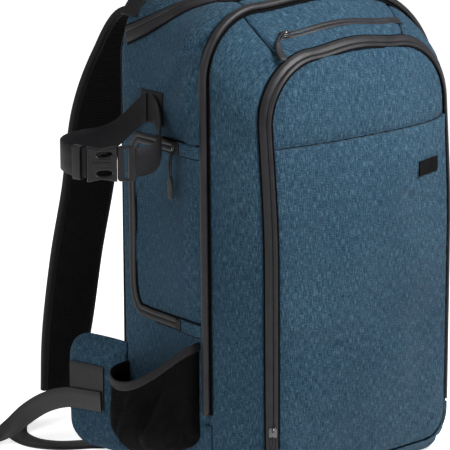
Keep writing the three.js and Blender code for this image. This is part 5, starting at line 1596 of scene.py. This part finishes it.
def shoulderRoute(sign, count):
    stops = []
    for out, behind, height, breadth in shoulderRows:
        stops.append([sign * out * body["halfWidth"], body["backY"] + behind * shoulder["reach"],
                      height * body["height"], breadth])
    stops[0][1] = float(backPadFace(np.array(stops[0][0]), np.array(stops[0][2]))) + shoulder["thickness"] / 2
    return curveThrough(stops, count)


def addBinding(name, line, side, normal, width):
    meshes = []
    across, thick, reach = shoulder["binding"]
    for sign in (-1, 1):
        path = line + side * (sign * (width[:, None] / 2 - reach))
        meshes.append(sweptMesh(name, path, normal, tubeRing(16, 3.0), across, thick))
    addPiece(name, joined(name, meshes), webbing)


def makeShoulder(side, sign):
    rows = shoulderRoute(sign, 150)
    line, width = rows[:, :3], rows[:, 3] * shoulder["width"]
    tangent = unit(np.gradient(line, axis=0))
    outward = np.cross(tangent, [1.0, 0.0, 0.0])
    name = "shoulderStrap" + side.title()
    mesh = sweptMesh(name, line, outward, tubeRing(36, 2.5), width, shoulder["thickness"])
    piece = addPiece(name, mesh, spacer, ["shoulder_strap_" + side])
    across = unit(np.cross(tangent, outward))
    addBinding(name + "Binding", line, across, outward, width)
    return line, tangent


def ribbon(name, node, stops, width, thickness, material, steps=150):
    table = [[*point, *unit(np.array(facing, float))] for point, facing in stops]
    rows = curveThrough(table, steps)
    line, outward = rows[:, :3], unit(rows[:, 3:])
    mesh = sweptMesh(name, line, outward, tapeRing(width, thickness), sharpAngle=50)
    addPiece(name, mesh, material, [node])
    return line


def makeShoulderWeb(side, sign, foot):
    lift = shoulder["floorGap"] + shoulder["web"] / 2
    lockOut = shoulder["thickness"] / 2 + seamGap + shoulder["ladder"][2] / 2
    tailX = sign * (body["halfWidth"] - shoulder["webWidth"])
    tailZ = shoulder["webWidth"]
    tailFace = float(backPadFace(np.array(tailX - sign * shoulder["webWidth"] / 2), np.array(tailZ)))
    tailFace += seamGap + shoulder["web"] / 2

    def away(x, y, z):
        return foot[0] + sign * x * mm, foot[1] + y, z

    def near(x, y, z):
        return tailX + sign * x * mm, tailFace + y * mm, z

    ribbon("shoulderWeb" + side.title(), "shoulder_web_" + side, [
        (away(1, lockOut, foot[2] - shoulder["ladder"][0] * 0.1 - seamGap), (sign * 0.1, 1, 0)),
        (away(2, lockOut + 1 * mm, foot[2] * 0.76), (sign * 0.2, 1, 0)),
        (away(14, lockOut + 8 * mm, foot[2] * 0.5), (sign * 0.6, 0.8, 0.4)),
        (away(36, 18 * mm, lift + 8 * mm), (sign * 0.4, 0.3, 0.9)),
        (away(54, 8 * mm, lift + 2 * mm), (0, 0, 1)),
        (away(58, -26 * mm, lift), (0, 0, 1)),
        (away(42, -54 * mm, lift), (0, 0, 1)),
        (near(26, 46, lift), (0, 0, 1)),
        (near(8, 30, lift + 1.5 * mm), (0, 0, 1)),
        (near(1, 14, lift + 7 * mm), (0, 0.6, 0.8)),
        (near(0, 2, tailZ - 4 * mm), (0, 1, 0.2)),
        (near(0, 0, tailZ + 12 * mm), (0, 1, 0)),
    ], shoulder["webWidth"], shoulder["web"], glossyWebbing)


def makeLadderLock(side, foot, along):
    length, width, thickness = shoulder["ladder"]
    behind = Vector((1, 0, 0)).cross(Vector(along)).normalized()
    if behind.y < 0:
        behind.negate()
    middle = Vector(foot) + Vector(along) * (length * (0.1 - 0.5))
    middle += behind * (shoulder["thickness"] / 2 + seamGap + thickness / 2)
    slots = [roundedRect(4.5 * mm, shoulder["webWidth"] + 2 * mm, 1.2 * mm, (sign * length / 4, 0))
             for sign in (1, -1)]
    lock = plateMesh(roundedRect(length, width, 2.5 * mm), slots, thickness, 1.1 * mm)
    lip = plateMesh(roundedRect(5 * mm, width * 0.8, 2 * mm), [], thickness * 0.5, 0.8 * mm)
    lip.transform(Matrix.Translation((length / 2 - 2.8 * mm, 0, thickness * 0.36)))
    mesh = joined("lock", [lock, lip])
    placed(mesh, middle, along, behind)
    addPiece("ladderLock" + side.title(), mesh, plastic, ["ladder_lock_" + side])


sides = (("left", -1), ("right", 1))
for side, sign in sides:
    line, tangent = makeShoulder(side, sign)
    makeLadderLock(side, line[-1], tangent[-1])
    makeShoulderWeb(side, sign, line[-1])
print("stage: back and shoulder straps")

# Hip wings with their coated band, webbing and buckle
wing = {"length": 72 * mm, "height": 126 * mm, "thickness": 12 * mm, "foot": 7 * mm, "round": 24 * mm,
        "edge": 3 * mm, "flare": 20 * mm, "seatDepth": 0.05,
        "bandHeights": (0.37, 0.76), "bandReach": (0.3, 0.88),
        "webWidth": 22 * mm, "webHeight": 0.47, "buckle": (42 * mm, 30 * mm, 8 * mm)}
wingSeat = skinBase(2.0, wing["seatDepth"])


def wingPoint(sign, along, z, proud):
    x = abs(wingSeat[0]) + seamGap + wing["flare"] * along**1.5 + proud
    return xyz(sign * x, wingSeat[1] + wing["length"] * along, z)


def wingEdges(along):
    toTip = np.minimum(wing["round"], (1 - along) * wing["length"])
    cut = wing["round"] - np.sqrt(wing["round"] ** 2 - (wing["round"] - toTip) ** 2)
    return wing["foot"] + cut, wing["foot"] + wing["height"] - cut


def wingThicknessAt(along, up):
    belly = (1 - (2 * up - 1) ** 4) * (1 - (2 * along - 1) ** 6)
    return lerp(wing["edge"], wing["thickness"], belly) * smooth(along, -0.4, 0.35)


def makeWing(side, sign):
    u, v = np.meshgrid(1 - (1 - np.linspace(0, 1, 40)) ** 1.4, np.linspace(0, 1, 50), indexing="ij")
    low, high = wingEdges(u)
    z = lerp(low, high, v)
    name = "hipWing" + side.title()
    edgeRoll = 1 - 0.55 * np.exp(-(np.minimum(v, 1 - v) / 0.03) ** 2)
    outer = wingPoint(sign, u, z, wingThicknessAt(u, v) * edgeRoll)
    inner = wingPoint(sign, u, z, 0.0)
    first, second = arcs(outer)
    mesh = slabMesh(name, outer, inner, np.stack([first, z], -1), 60)
    piece = addPiece(name, mesh, cloth, ["hip_wing_" + side])
    u, v = np.meshgrid(np.linspace(*wing["bandReach"], 30), np.linspace(0, 1, 20), indexing="ij")
    bandLow, bandHigh = (wing["foot"] + wing["height"] * share for share in wing["bandHeights"])
    z = lerp(bandLow, bandHigh, v)
    proud = wing["thickness"] + seamGap
    rise = trimLook["tape"] * (1 - 0.5 * np.exp(-(np.minimum(v, 1 - v) / 0.03) ** 2))
    name = "hipBand" + side.title()
    mesh = slabMesh(name, wingPoint(sign, u, z, proud + rise), wingPoint(sign, u, z, proud),
                    np.stack([u * wing["length"], z], -1), 50)
    addPiece(name, mesh, coated, ["hip_band_" + side])
    makeHipWeb(side, sign)


def makeHipWeb(side, sign):
    lift = shoulder["floorGap"] + shoulder["web"] / 2
    webHeight = wing["foot"] + wing["height"] * wing["webHeight"]
    proud = wing["thickness"] + seamGap + trimLook["tape"] + trimLook["clearance"] + shoulder["web"] / 2

    def onWing(along):
        return wingPoint(sign, along, webHeight - wing["webWidth"] / 4 * along, proud)

    tip = onWing(1.0)

    def past(x, y, z):
        return tip[0] + sign * x * mm, tip[1] + y * mm, z

    line = ribbon("hipWeb" + side.title(), "hip_web_" + side, [
        (onWing(0.32), (sign, 0, 0)), (onWing(0.6), (sign, 0, 0)), (onWing(0.92), (sign, -0.1, 0)),
        (past(8, 18, webHeight - 15 * mm), (sign, -0.4, 0)),
        (past(18, 36, webHeight - 29 * mm), (sign * 0.9, -0.5, 0.2)),
        (past(32, 54, wing["webWidth"] * 0.5 + 6 * mm), (sign * 0.6, -0.4, 0.7)),
        (past(44, 66, lift + 5 * mm), (sign * 0.2, -0.2, 1)),
        (past(54, 84, lift + 0.4 * mm), (0, 0, 1)),
        (past(54, 104, lift), (0, 0, 1)),
    ], wing["webWidth"], shoulder["web"], glossyWebbing)
    length, width, thickness = wing["buckle"]
    along = Vector(unit(line[-1] - line[-4]))
    along.z = 0
    along.normalize()
    middle = Vector(line[-1]) + along * (length / 2 + seamGap)
    middle.z = shoulder["floorGap"] + thickness / 2
    slot = roundedRect(4.5 * mm, wing["webWidth"] + 2 * mm, 1.5 * mm, (4.5 * mm - length / 2, 0))
    windows = [ellipse(length * 0.40, width * 0.18, (length * 0.14, s * width * 0.26)) for s in (-1, 1)]
    plate = plateMesh(waisted(length, width, 0.12), [slot, *windows], thickness, 1.8 * mm)
    placed(plate, middle, along, (0, 0, 1))
    addPiece("hipBuckle" + side.title(), plate, plastic, ["hip_buckle_" + side])


for side, sign in sides:
    makeWing(side, sign)
print("stage: hip wings")
